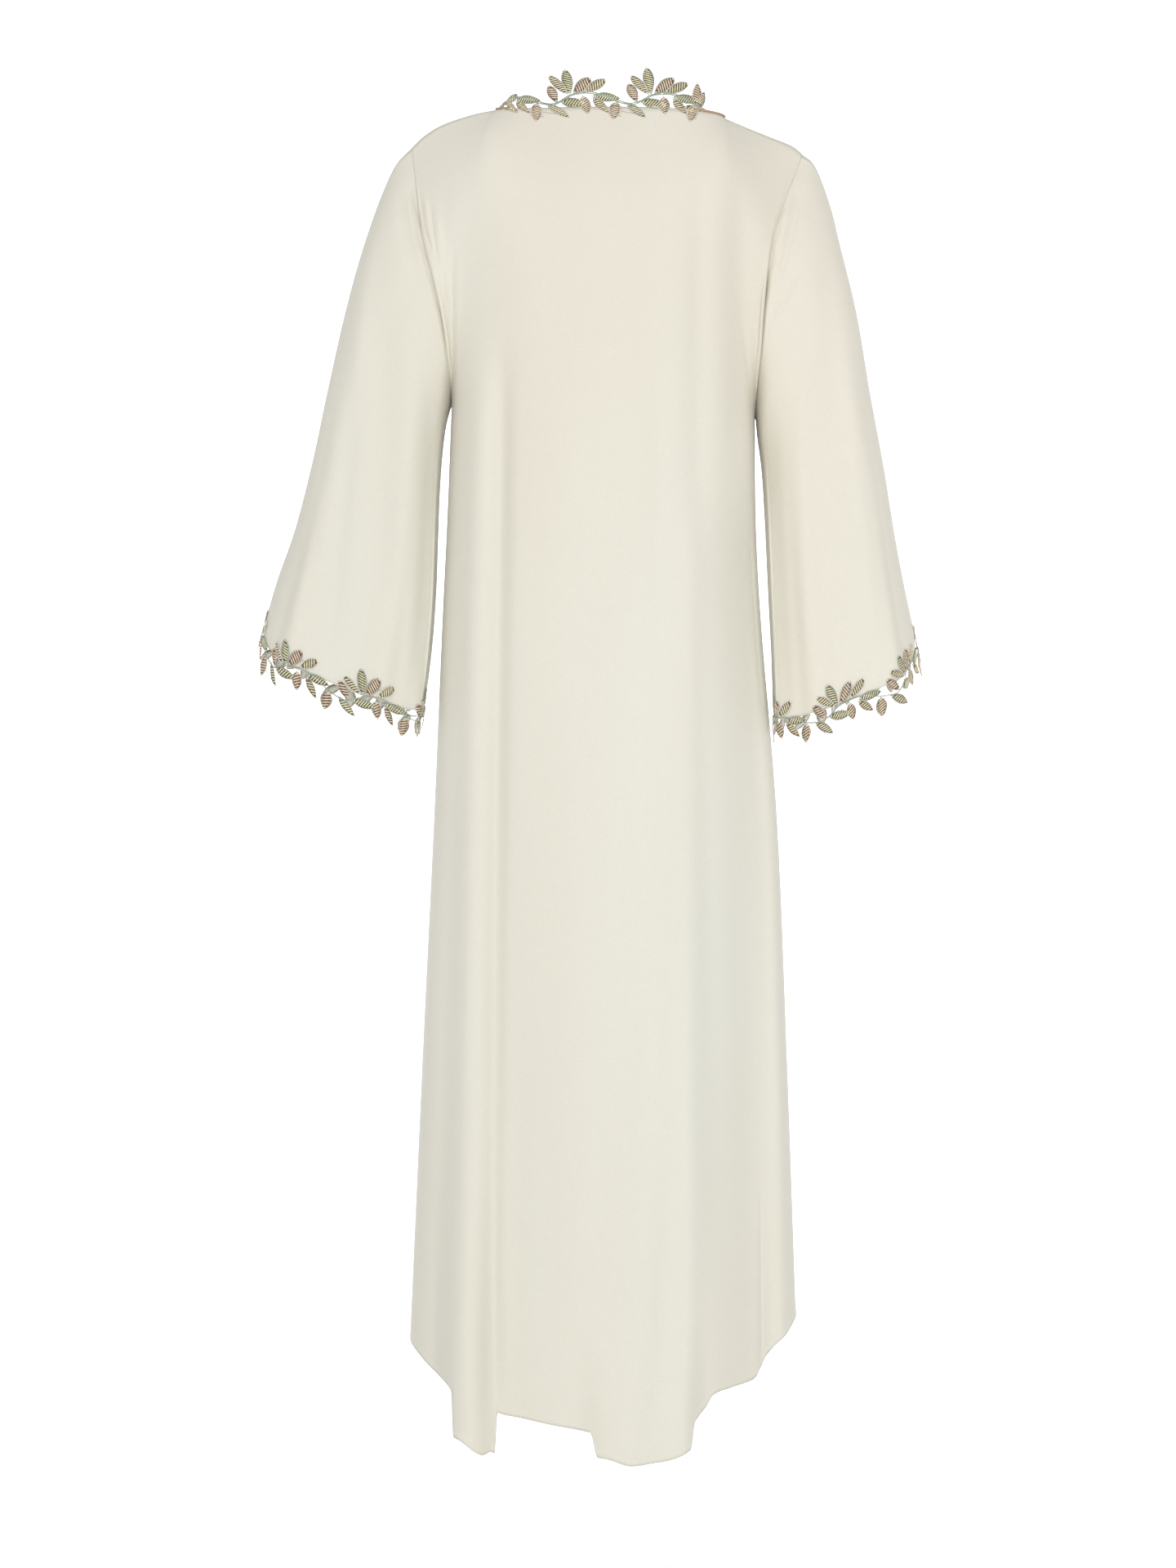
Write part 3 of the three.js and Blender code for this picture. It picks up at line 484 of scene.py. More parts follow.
def crepe(name, cool, warm, shift):
    """Cream crepe, matt with a faint sheen."""
    material = bpy.data.materials.new(name)
    material.use_nodes = True
    tree = material.node_tree
    cloth = tree.nodes["Principled BSDF"]
    cloth.inputs["Roughness"].default_value = 0.72
    cloth.inputs["Specular IOR Level"].default_value = 0.28
    cloth.inputs["Sheen Weight"].default_value = 0.22
    cloth.inputs["Sheen Roughness"].default_value = 0.5
    place = tree.nodes.new("ShaderNodeTexCoord")
    grain = node(tree, "ShaderNodeGroup", node_tree=crepe_grain)
    dyed = node(tree, "ShaderNodeGroup", node_tree=dye_bands)
    dyed.inputs["Cool"].default_value = (*cool, 1)
    dyed.inputs["Warm"].default_value = (*warm, 1)
    dyed.inputs["Shift"].default_value = shift
    fleck = node(tree, "ShaderNodeMapRange", in_1=0.3, in_2=0.7, in_3=0.965, in_4=1.02)
    speckled = node(tree, "ShaderNodeMix", data_type="RGBA", blend_type="MULTIPLY", in_0=1.0)
    bump = node(tree, "ShaderNodeBump", in_0=0.22, in_1=0.0006)
    tree.links.new(place.outputs["Object"], grain.inputs["Vector"])
    tree.links.new(place.outputs["Object"], dyed.inputs["Vector"])
    height = tree.nodes.new("ShaderNodeSeparateXYZ")
    tree.links.new(place.outputs["Object"], height.inputs[0])
    tree.links.new(height.outputs["Z"], dyed.inputs["Height"])
    tree.links.new(grain.outputs["Pebble"], fleck.inputs["Value"])
    tree.links.new(dyed.outputs["Color"], speckled.inputs[6])
    tree.links.new(fleck.outputs[0], speckled.inputs[7])
    thin = node(tree, "ShaderNodeBsdfTranslucent")
    mixed = node(tree, "ShaderNodeMixShader", in_0=0.13)
    passed = node(tree, "ShaderNodeMix", data_type="RGBA", blend_type="MULTIPLY", in_0=1.0)
    passed.inputs[7].default_value = (1.0, 0.95, 0.87, 1)
    tree.links.new(speckled.outputs[2], passed.inputs[6])
    tree.links.new(passed.outputs[2], thin.inputs["Color"])
    tree.links.new(cloth.outputs[0], mixed.inputs[1])
    tree.links.new(thin.outputs[0], mixed.inputs[2])
    tree.links.new(mixed.outputs[0], tree.nodes["Material Output"].inputs["Surface"])
    tree.links.new(speckled.outputs[2], cloth.inputs["Base Color"])
    tree.links.new(grain.outputs["Height"], bump.inputs["Height"])
    tree.links.new(bump.outputs["Normal"], cloth.inputs["Normal"])
    return material


body_crepe = crepe("body_crepe", (0.83, 0.822, 0.73), (0.81, 0.768, 0.665), 0.0)

back_grid, back_across = panel_grid(BACK, CREASES_BACK, 150, 152, 56)
back = cloth_mesh("back_cloth", back_grid, False, body_crepe, turned=True)
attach(back, "root")
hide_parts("back")

# ------------------------------------------------------------------ front
# The front is cut like the back, with a deeper scooped neck and a straighter hem. It is joined to the
# back along the shoulders and the sides.

FOLDS_FRONT = listed(
    "start end wide edge cut out drop top full",
    (0.24, 0.2, 0.12, 0.1, 0.1, 26, 6, -460, -1250),
    (0.42, 0.4, 0.13, 0.11, 0.11, 24, 8, -620, -1280),
    (0.6, 0.61, 0.13, 0.11, 0.11, 28, 8, -560, -1260),
    (0.77, 0.81, 0.12, 0.1, 0.1, 24, 6, -440, -1240),
)
HEM_FRONT = columns("across z", (0, -1301), (0.25, -1306), (0.5, -1308), (0.75, -1298), (1, -1276))
CREASES_FRONT = listed(
    "x0 z0 x1 z1 bow wide deep",
    (96, -150, 118, -760, -6, 20, -4),
    (-92, -150, -112, -700, 5, 18, -4),
    (38, -190, 52, -900, -5, 22, 3.5),
    (-34, -200, -60, -980, 6, 20, 3),
    (4, -260, -8, -1100, 4, 16, -4),
    (150, -330, 160, -1280, 2, 12, -4),
    (-146, -330, -156, -1270, 2, 12, -4),
    (86, -700, 92, -1400, 2, 11, -4),
    (-84, -660, -98, -1400, -2, 11, -4),
    (30, -620, 22, -1400, 2, 9, -3),
    (-24, -640, -30, -1400, 2, 9, -3),
    (196, -84, 166, -200, -4, 2.6, 1.6),
    (188, -80, 160, -214, -4, 2.6, -1.6),
    (-196, -86, -168, -196, 4, 2.6, 1.5),
    (-186, -84, -160, -212, 4, 2.6, -1.5),
)
FRONT = SimpleNamespace(
    facing=-1, deep="front", folds=FOLDS_FRONT, hem=HEM_FRONT, neck=(-112, -112), bulge=9,
    fine=((0, 0.03), (0.97, 1)),
)

front_grid, front_across = panel_grid(FRONT, CREASES_FRONT, 130, 150, 56)
front = cloth_mesh("front_cloth", front_grid, False, body_crepe)
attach(front, "root")
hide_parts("front")

# ------------------------------------------------------------------ sleeves
# Two set-in sleeves of the same crepe widen into bells. Their heads are gathered slightly into the
# armhole seam, and their lower edges hang deeper behind and before the arm than at its sides.

SLEEVE = {
    "left": columns(
        "outX outZ inX inZ back front bend",
        (222.4, -52, 165, -313, 68, 66, 0.75),
        (239.4, -87, 167.8, -321, 68, 66, 0.4),
        (259.4, -145, 171, -333, 66, 65, 0.12),
        (277.4, -212, 174.6, -362, 63, 62, 0),
        (295.9, -293, 177.4, -404, 60, 60, 0),
        (313.4, -373, 179.2, -455, 58, 59, 0),
        (331.9, -444, 181.2, -510, 57, 59, 0),
        (351.4, -500, 185.6, -568, 57, 60, 0),
        (364.4, -546, 193.6, -632, 58, 61, 0),
    ),
    "right": columns(
        "outX outZ inX inZ back front bend",
        (-220.4, -52, -159.1, -325, 68, 66, 0.75),
        (-237.4, -92, -160.4, -332, 68, 66, 0.4),
        (-251.4, -147, -162, -345, 66, 65, 0.12),
        (-266.4, -212, -165.6, -371, 63, 62, 0),
        (-280.9, -296, -168.6, -412, 60, 60, 0),
        (-295.9, -375, -171.1, -462, 58, 59, 0),
        (-307.4, -446, -173.6, -516, 57, 59, 0),
        (-318.4, -505, -176.6, -574, 57, 60, 0),
        (-329.4, -556, -178.6, -638, 58, 61, 0),
    ),
}
INNER_FLAT = 0.34
CUFF_DIP = {"left": 30, "right": 40}
CUFF_FRONT_SHARE = 0.45
FOLDS_SLEEVE = listed(
    "around wide out", (0.3, 0.22, 7), (0.62, 0.2, 6), (0.86, 0.16, 4), (-0.36, 0.24, 8), (-0.7, 0.22, 6)
)
CREASES_SLEEVE = {
    "left": listed(
        "x0 z0 x1 z1 bow wide deep",
        (204, -78, 186, -150, -3, 2.6, 1.5),
        (210, -80, 190, -176, -3, 3, -1.6),
        (219, -86, 192, -200, -4, 5, 1.6),
        (236, -90, 262, -330, -8, 10, -3),
        (226, -160, 236, -560, -6, 16, 3),
        (204, -190, 210, -640, 3, 17, -4),
        (180, -270, 196, -680, 2, 11, 8),
        (262, -300, 292, -620, -3, 10, 2.4),
        (300, -360, 336, -600, 0, 8, -2.6),
    ),
    "right": listed(
        "x0 z0 x1 z1 bow wide deep",
        (-196, -84, -176, -170, 2, 2.4, 1.3),
        (-203, -92, -170, -214, 3, 3, -1.8),
        (-200, -176, -168, -232, 4, 3, -1.6),
        (-226, -100, -232, -420, 6, 13, 2.4),
        (-206, -240, -214, -620, -4, 10, -2),
        (-170, -280, -184, -690, -2, 11, 8),
        (-250, -230, -276, -600, 4, 12, -2.6),
        (-262, -330, -300, -620, 3, 8, 2),
    ),
}


def sleeve_grid(side, around, down):
    outward = 1 if side == "left" else -1
    turns = np.arange(around) * 2 / around
    behind = turns <= 1
    armhole = np.where(
        behind[:, None],
        armhole_point(BACK, side, np.where(behind, 1 - turns, 0)),
        armhole_point(FRONT, side, np.where(behind, 0, turns - 1)),
    )
    armhole[[0, around // 2], 1] = 0
    armhole[:, 0] += outward * SEAM_GAP
    cos, sin = np.cos(np.pi * turns), np.sin(np.pi * turns)
    share = (1 - np.sign(cos) * np.abs(cos) ** (2 / SQUARENESS)) / 2
    swell = np.sign(sin) * np.abs(sin) ** (2 / SQUARENESS - INNER_FLAT * np.maximum(-cos, 0))

    def oval(out_x, out_z, in_x, in_z, deep_back, deep_front):
        deep = np.where(sin > 0, deep_back, deep_front)
        x, z = out_x + (in_x - out_x) * share, out_z + (in_z - out_z) * share
        return np.stack([x, swell * deep, z], axis=-1)

    shoulder, underarm = armhole[0], armhole[around // 2]
    first = oval(shoulder[0], shoulder[2], underarm[0], underarm[2], 66, 66)
    rows = SLEEVE[side]
    count = len(rows["outX"])
    signed = np.where(turns > 1, turns - 2, turns)
    dip = CUFF_DIP[side] * np.abs(sin) ** 0.6 * (0.75 + 0.35 * cos)
    dip = dip * np.where(sin > 0, 1, CUFF_FRONT_SHARE)
    rings = [armhole]
    for i in range(count):
        fall = (i + 1) / count
        at = oval(*(rows[name][i] for name in ("outX", "outZ", "inX", "inZ", "back", "front")))
        at = at + (armhole - first) * rows["bend"][i]
        at[:, 2] -= dip * ease((fall - 0.45) / 0.55)
        centre = np.stack([0 * cos + (rows["outX"][i] + rows["inX"][i]) / 2, 0 * cos, at[:, 2]], axis=-1)
        off = at - centre
        out = sum(f.out * ease(1 - np.abs(signed - f.around) / (f.wide / 2)) for f in FOLDS_SLEEVE)
        out = out * ease((fall - 0.35) / 0.65)
        at = at + off / np.linalg.norm(off, axis=-1, keepdims=True) * out[:, None]
        rings.append(at)
    rings = np.array(rings)
    grid = spline(rings, np.concatenate([np.arange(0, 0.04, 0.0025), np.linspace(0.04, 1, down)]))
    normals = normals_of(grid, True, outward)
    grid = creased(grid, normals, CREASES_SLEEVE[side])
    fallen = travelled(grid)
    # Eased fullness along the armhole seam, a drawn-in seam and a turned lower edge.
    depth = seam_depth(side, grid[:1, :, 2])
    eased = ease((grid[:1, :, 2] + 250) / 90)
    gathers = 0.7 * eased * np.sin(turns * 46) * np.exp(-fallen / 22) * ease(fallen / 4)
    seam = drawn_in(fallen, depth, SLEEVE_SEAM_SOFT)
    edge = turned_edge(fallen[-1:] - fallen, 8, 0.35, 1.5)
    normals = normals_of(grid, True, outward)
    return grid + normals * (gathers + edge)[..., None] + seam_way(grid, normals) * seam[..., None]


# Each sleeve gets its own copy of the crepe. The left copy is darker than the right: painted shade, as that
# sleeve hangs more in shade.
sleeve_crepes_left_shaded = {
    "left": crepe("sleeve_left_crepe_painted_shade", (0.795, 0.795, 0.705), (0.80, 0.762, 0.66), 4.0),
    "right": crepe("sleeve_right_crepe", (0.825, 0.818, 0.718), (0.835, 0.785, 0.68), 7.3),
}
sleeve_grids = {}
for side in ("left", "right"):
    sleeve_grids[side] = sleeve_grid(side, 132, 150)
    sleeve = cloth_mesh(
        f"sleeve_{side}_cloth", sleeve_grids[side], True, sleeve_crepes_left_shaded[side], turned=side == "left"
    )
    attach(sleeve, "root")
    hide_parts(f"sleeve_{side}")

# ------------------------------------------------------------------ leaf-vine lace
# The trim is guipure lace: a vine with fans of leaves, worked in satin stitch and joined by fine bars.
# Each leaf has an outline of sage or dusty pink thread round oblique rungs of gold and cream. It is
# sewn over the neck edge and over the lower edge of each sleeve.

# A leaf's foot is at (along, up) on the strip, in millimetres, and it turns by degrees from its run.

REPEAT = 84
NECK_END_LEAVES = listed(
    "along up turn long wide tip rim fill",
    (1, -10, 36, 18, 8, "point", "rose", "rose"),
    (3, -8, -12, 15, 8, "round", "pale", "straw"),
    (14, -1, 15, 21, 9, "round", "sage", "leaf"),
    (12, -10, -20, 16, 8, "round", "sage", "leaf"),
    (24, -9, -60, 15, 8.5, "point", "rose", "rose"),
    (-41, -9, 100, 29, 11, "point", "rose", "rose"),
    (-38, -10, 78, 23, 8, "point", "sage", "rose"),
    (-56, -10, -12, 22, 8.5, "point", "pale", "straw"),
)
LEAVES = listed(
    "along up turn long wide tip rim fill",
    (-14, -8, 122, 21, 10.5, "round", "rose", "rose"),
    (-2, 1, 140, 27, 9.5, "round", "pale", "straw"),
    (0, 1, 102, 28, 10.5, "round", "sage", "leaf"),
    (3, 1.5, 54, 25, 12, "round", "rose", "rose"),
    (14, 3.4, 36, 25, 10, "round", "pale", "straw"),
    (23, -0.5, -5, 28, 10, "point", "sage", "leaf"),
    (-11, -6.5, -6, 27, 10, "point", "sage", "leaf"),
    (13, 0, -78, 21, 10.5, "point", "rose", "rose"),
    (23, -2, -50, 24, 9, "point", "rose", "straw"),
    (-36, -7, -94, 23, 12.5, "point", "rose", "rose"),
    (-25, -9, -38, 27, 9, "point", "sage", "straw"),
)
VINE = columns(
    "along up",
    (-38.2, -5.6), (-21.3, -9.9), (-12.4, -7.7), (0, 0), (10.2, 2.7), (21.3, 2.9), (33.9, -0.5),
)
BARS = listed(
    "along0 up0 along1 up1",
    (-30, -20, -12, -22),
    (-30, -27, -48, -18),
    (19, -12, 33, -10),
    (-7, 9, -20, -1),
    (10, 14, 20, 12),
)
NECK_LACE_UP = 13
NECK_LACE_RISE = 1.1
NECK_LACE_LOW = 0.3
NECK_LACE_BARE = 30
NECK_LACE_END = 9
NECK_LACE_SINK = 8
CUFF_LACE_UP = -1.5
LACE_LIFT = 0.5
STRIPE_PITCH = 2.6
STRIPE_WIDE = 1.2
FILL_WIDE = 0.74
NECK_FAN_AT = {"back": 92.5, "front": 50}
CUFF_FAN_AT = {"left": 70, "right": 21}

THREADS = (
    "sage", "rose", "pale", "net", "stripe_leaf", "stripe_straw", "stripe_rose",
    "ground_leaf", "ground_straw", "ground_rose", "tape_painted_shade",
)
thread_twist, twist_in, twist_out = new_group(
    "thread twist",
    [
        ("Vector", "NodeSocketVector", None),
        ("Dark", "NodeSocketColor", None),
        ("Light", "NodeSocketColor", None),
    ],
    [("Color", "NodeSocketColor"), ("Height", "NodeSocketFloat")],
)
links = thread_twist.links
strands = node(thread_twist, "ShaderNodeTexNoise", in_3=2.0, in_4=0.6)
strands.inputs["Scale"].default_value = 900.0
patches = node(thread_twist, "ShaderNodeTexNoise", in_3=1.0)
patches.inputs["Scale"].default_value = 60.0
mixed = node(thread_twist, "ShaderNodeMath", operation="ADD")
spread = node(thread_twist, "ShaderNodeMapRange", in_1=0.7, in_2=1.3)
tone = node(thread_twist, "ShaderNodeMix", data_type="RGBA")
links.new(twist_in.outputs["Vector"], strands.inputs["Vector"])
links.new(twist_in.outputs["Vector"], patches.inputs["Vector"])
links.new(strands.outputs["Fac"], mixed.inputs[0])
links.new(patches.outputs["Fac"], mixed.inputs[1])
links.new(mixed.outputs[0], spread.inputs["Value"])
links.new(spread.outputs[0], tone.inputs[0])
links.new(twist_in.outputs["Dark"], tone.inputs[6])
links.new(twist_in.outputs["Light"], tone.inputs[7])
links.new(tone.outputs[2], twist_out.inputs["Color"])
links.new(strands.outputs["Fac"], twist_out.inputs["Height"])


def thread(name, dark, light, roughness):
    material = bpy.data.materials.new(name)
    material.use_nodes = True
    tree = material.node_tree
    silk = tree.nodes["Principled BSDF"]
    silk.inputs["Roughness"].default_value = roughness
    silk.inputs["Specular IOR Level"].default_value = 0.4
    silk.inputs["Sheen Weight"].default_value = 0.1
    place = tree.nodes.new("ShaderNodeTexCoord")
    twist = node(tree, "ShaderNodeGroup", node_tree=thread_twist)
    twist.inputs["Dark"].default_value = (*dark, 1)
    twist.inputs["Light"].default_value = (*light, 1)
    bump = node(tree, "ShaderNodeBump", in_0=0.4, in_1=0.0004)
    tree.links.new(place.outputs["Object"], twist.inputs["Vector"])
    tree.links.new(twist.outputs["Color"], silk.inputs["Base Color"])
    tree.links.new(twist.outputs["Height"], bump.inputs["Height"])
    tree.links.new(bump.outputs["Normal"], silk.inputs["Normal"])
    return material


thread_materials = [
    thread("sage_thread", (0.27, 0.32, 0.25), (0.45, 0.50, 0.41), 0.5),
    thread("rose_thread", (0.48, 0.35, 0.30), (0.70, 0.54, 0.47), 0.5),
    thread("pale_thread", (0.72, 0.70, 0.60), (0.86, 0.84, 0.75), 0.5),
    thread("net_thread", (0.80, 0.78, 0.69), (0.88, 0.86, 0.78), 0.6),
    thread("leaf_stripe", (0.83, 0.78, 0.49), (0.95, 0.90, 0.65), 0.5),
    thread("straw_stripe", (0.87, 0.80, 0.54), (0.97, 0.90, 0.68), 0.5),
    thread("rose_stripe", (0.84, 0.72, 0.50), (0.95, 0.84, 0.64), 0.5),
    # The three grounds: darker thread, made darker still as painted shade between the raised satin stripes.
    thread("leaf_shaded_ground", (0.11, 0.11, 0.045), (0.20, 0.195, 0.09), 0.6),
    thread("straw_shaded_ground", (0.14, 0.11, 0.05), (0.24, 0.19, 0.095), 0.6),
    thread("rose_shaded_ground", (0.16, 0.10, 0.065), (0.28, 0.185, 0.125), 0.6),
    # The tape's brown is painted shade of the dress's inside at the neck's ends.
    thread("tape_painted_shade", (0.33, 0.22, 0.12), (0.56, 0.42, 0.27), 0.6),
]


class Stitching:
    """Flat lace as it is worked: points (along, up, out) in millimetres, faces and the thread of each."""

    def __init__(self):
        self.points, self.faces, self.threads, self.count = [], [], [], 0

    def add(self, points, faces, threads):
        self.points.append(np.asarray(points, float))
        self.faces += [[i + self.count for i in face] for face in faces]
        self.threads += threads
        self.count += len(points)

    def cord(self, path, radius, name, closed=False, sides=5, flat=1.0):
        """A round thread along a path of (along, up, out)."""
        path = np.asarray(path, float)
        if closed:
            way = np.roll(path, -1, axis=0) - np.roll(path, 1, axis=0)
        else:
            way = np.gradient(path, axis=0)
        way = way / np.linalg.norm(way, axis=-1, keepdims=True)
        aside = np.stack([-way[:, 1], way[:, 0], 0 * way[:, 0]], axis=-1)
        aside = aside / np.maximum(np.linalg.norm(aside, axis=-1, keepdims=True), 1e-9)
        radius = np.broadcast_to(np.asarray(radius, float), (len(path),))
        rings = []
        for k in range(sides):
            angle = 2 * math.pi * (k + 0.5) / sides
            rings.append(
                path + aside * (radius * math.cos(angle))[:, None]
                + np.array([0, 0, 1.0]) * (radius * math.sin(angle) * flat)[:, None]
            )
        points = np.stack(rings, axis=1).reshape(-1, 3)
        faces = []
        last = len(path) if closed else len(path) - 1
        for i in range(last):
            j = (i + 1) % len(path)
            for k in range(sides):
                m = (k + 1) % sides
                faces.append([i * sides + k, i * sides + m, j * sides + m, j * sides + k])
        if not closed:
            faces.append(list(range(sides))[::-1])
            faces.append([(len(path) - 1) * sides + k for k in range(sides)])
        self.add(points, faces, [THREADS.index(name)] * len(faces))


def leaf_stitches(lace, leaf, shift, seed, twist, size=1.0):
    """One leaf: net in a corded outline, with pale satin stripes over a darker ground in its middle; the
    ground is darker thread, made darker still as painted shade between the raised stripes.
    """
    vary = [math.sin(seed * k + leaf.along) for k in (12.9, 78.2, 37.7)]
    turn = math.radians(leaf.turn + 4 * vary[0] + (twist if leaf.turn > 20 else 0))
    long, wide = size * leaf.long * (1 + 0.05 * vary[1]), size * leaf.wide * (1 + 0.06 * vary[2])
    ways = np.array([[math.cos(turn), math.sin(turn)], [-math.sin(turn), math.cos(turn)]])

    def placed(points):
        points = np.asarray(points, float)
        flat = points[:, :2] @ ways + np.array([leaf.along + shift, leaf.up])
        return np.column_stack([flat, points[:, 2]])

    def half(t):
        t = np.clip(t, 0, 1)
        if leaf.tip == "round":
            return wide / 2 * np.sin(np.pi * t**1.3) ** 0.62
        return wide / 2 * np.sin(np.pi * t**0.92) ** 0.85

    def plate(start, end, share, low, top, name):
        t = start + (end - start) * (1 - np.cos(np.linspace(0, np.pi, 11))) / 2
        out = half(t) * share
        at = t * long
        rows = []
        for side in (-1, 0, 1):
            domed = 0 * at + top + 0.35 * (1 - abs(side)) * np.sin(np.pi * t.clip(0, 1))
            rows.append(np.column_stack([at, side * out, domed]))
        rows.append(np.column_stack([at, 0 * at, 0 * at + low]))
        n = len(t)
        faces = []
        for i in range(n - 1):
            for a, b in ((0, 1), (1, 2), (2, 3), (3, 0)):
                faces.append([a * n + i, a * n + i + 1, b * n + i + 1, b * n + i])
        lace.add(placed(np.concatenate(rows)), faces, [THREADS.index(name)] * len(faces))

    start = 0.08
    plate(start * 0.5, 0.995, 0.99, 0.05, 0.3, "net")
    # The ground under the stripes: its colour is partly thread and partly painted shade.
    plate(start * 1.8, 0.93, FILL_WIDE, 0.3, 0.5, f"ground_{leaf.fill}")
    t = start + (1 - start) * (1 - np.cos(np.linspace(0, np.pi, 13))) / 2
    upper, lower = np.column_stack([t * long, half(t)]), np.column_stack([t * long, -half(t)])
    edge = np.concatenate([upper, lower[::-1][1:-1]])
    lace.cord(placed(np.column_stack([edge, 0 * edge[:, 0] + 0.45])), 0.36, leaf.rim, closed=True)

    slant = 0.4 if leaf.turn > -60 else -0.35
    stripes = int(long / STRIPE_PITCH)
    for i in range(1, stripes):
        middle = (i + 0.35) / stripes
        low, high = middle - slant * half(middle) / long, middle + slant * half(middle) / long
        if low > start * 1.8 and high < 0.93 and half(middle) > 1.4:
            across = half(middle) * (FILL_WIDE + 0.04)
            ends = [[low * long, -across, 0.55], [middle * long, 0, 0.95], [high * long, across, 0.55]]
            lace.cord(placed(ends), STRIPE_WIDE / 2, f"stripe_{leaf.fill}", sides=4, flat=0.5)
    lace.cord(placed([[-1, 0, 0.5], [start * long * 1.3, 0, 0.6]]), 0.42, "sage", sides=5)


def flat_lace(length, phase, bare_ends, bare_vine, twist, vine, size):
    """A strip of lace of the given length, its fans of leaves at `phase` and every repeat on."""
    lace = Stitching()
    first = int(math.floor(-phase / REPEAT)) - 1
    last = int(math.ceil((length - phase) / REPEAT)) + 1
    knots = []
    for n in range(first, last + 1):
        knots += [(along + phase + n * REPEAT, up) for along, up in zip(VINE["along"], VINE["up"])]
    knots = np.array(sorted(knots))
    along = np.arange(1 + bare_vine[0], length - 1 - bare_vine[1], 1.6)
    up = smooth(knots[:, 0], knots[:, 1], along)
    wave = 0.45 * np.sin(along / 3.1)
    for side in (-1, 1):
        aside, out = up + side * vine * 1.2 + wave * 0.2, 0.6 + 0.25 * side * np.cos(along / 2.3)
        lace.cord(np.column_stack([along, aside, out]), vine, "sage", sides=5)
    for n in range(first, last + 1):
        shift = phase + n * REPEAT
        for k, leaf in enumerate(LEAVES):
            reach = leaf.long * math.cos(math.radians(leaf.turn))
            ends = (leaf.along + shift, leaf.along + shift + reach)
            clear = [bare_ends if leaf.up >= 0 and leaf.turn > 30 else 1 + bare for bare in bare_vine]
            if min(ends) > clear[0] and max(ends) < length - clear[1]:
                leaf_stitches(lace, leaf, shift, k + 3 * n, twist, size)
        for bar in BARS:
            bar_ends = (bar.along0 + shift, bar.along1 + shift)
            if min(bar_ends) > 2 + bare_vine[0] and max(bar_ends) < length - 2 - bare_vine[1]:
                start, end = (bar.along0 + shift, bar.up0, 0.5), (bar.along1 + shift, bar.up1, 0.5)
                sag = ((bar.along0 + bar.along1) / 2 + shift, (bar.up0 + bar.up1) / 2 - 1, 0.5)
                lace.cord([start, sag, end], 0.32, "sage", sides=4)
    return lace


def edge_apron(rows, reach, step):
    """The cloth beside an edge: its points at even distances in from it, row 0 the edge."""
    away = travelled(rows)
    steps = np.arange(0, reach, step)
    apron = np.empty((len(steps), rows.shape[1], 3))
    for c in range(rows.shape[1]):
        for axis in range(3):
            apron[:, c, axis] = np.interp(steps, away[:, c], rows[:, c, axis])
    return apron


def bilinear(table, row, column):
    row = np.clip(row, 0, table.shape[0] - 1.001)
    column = np.clip(column, 0, table.shape[1] - 1.001)
    r, c = row.astype(int), column.astype(int)
    fr, fc = (row - r)[:, None], (column - c)[:, None]
    near = table[r, c] * (1 - fc) + table[r, c + 1] * fc
    far = table[r + 1, c] * (1 - fc) + table[r + 1, c + 1] * fc
    return near * (1 - fr) + far * fr


def unit(vectors):
    return vectors / np.maximum(np.linalg.norm(vectors, axis=-1, keepdims=True), 1e-9)


def lace_mesh(name, lace, place):
    points = place(np.concatenate(lace.points))
    mesh = bpy.data.meshes.new(name)
    mesh.from_pydata((points * MM).tolist(), [], lace.faces)
    for material in thread_materials:
        mesh.materials.append(material)
    mesh.polygons.foreach_set("material_index", lace.threads)
    mesh.polygons.foreach_set("use_smooth", [True] * len(mesh.polygons))
    piece = bpy.data.objects.new(name, mesh)
    bpy.context.scene.collection.objects.link(piece)
    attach(piece, "root")
    return piece


APRON_ROWS = 60
APRON_REACH = 42
APRON_STEP = 1.5


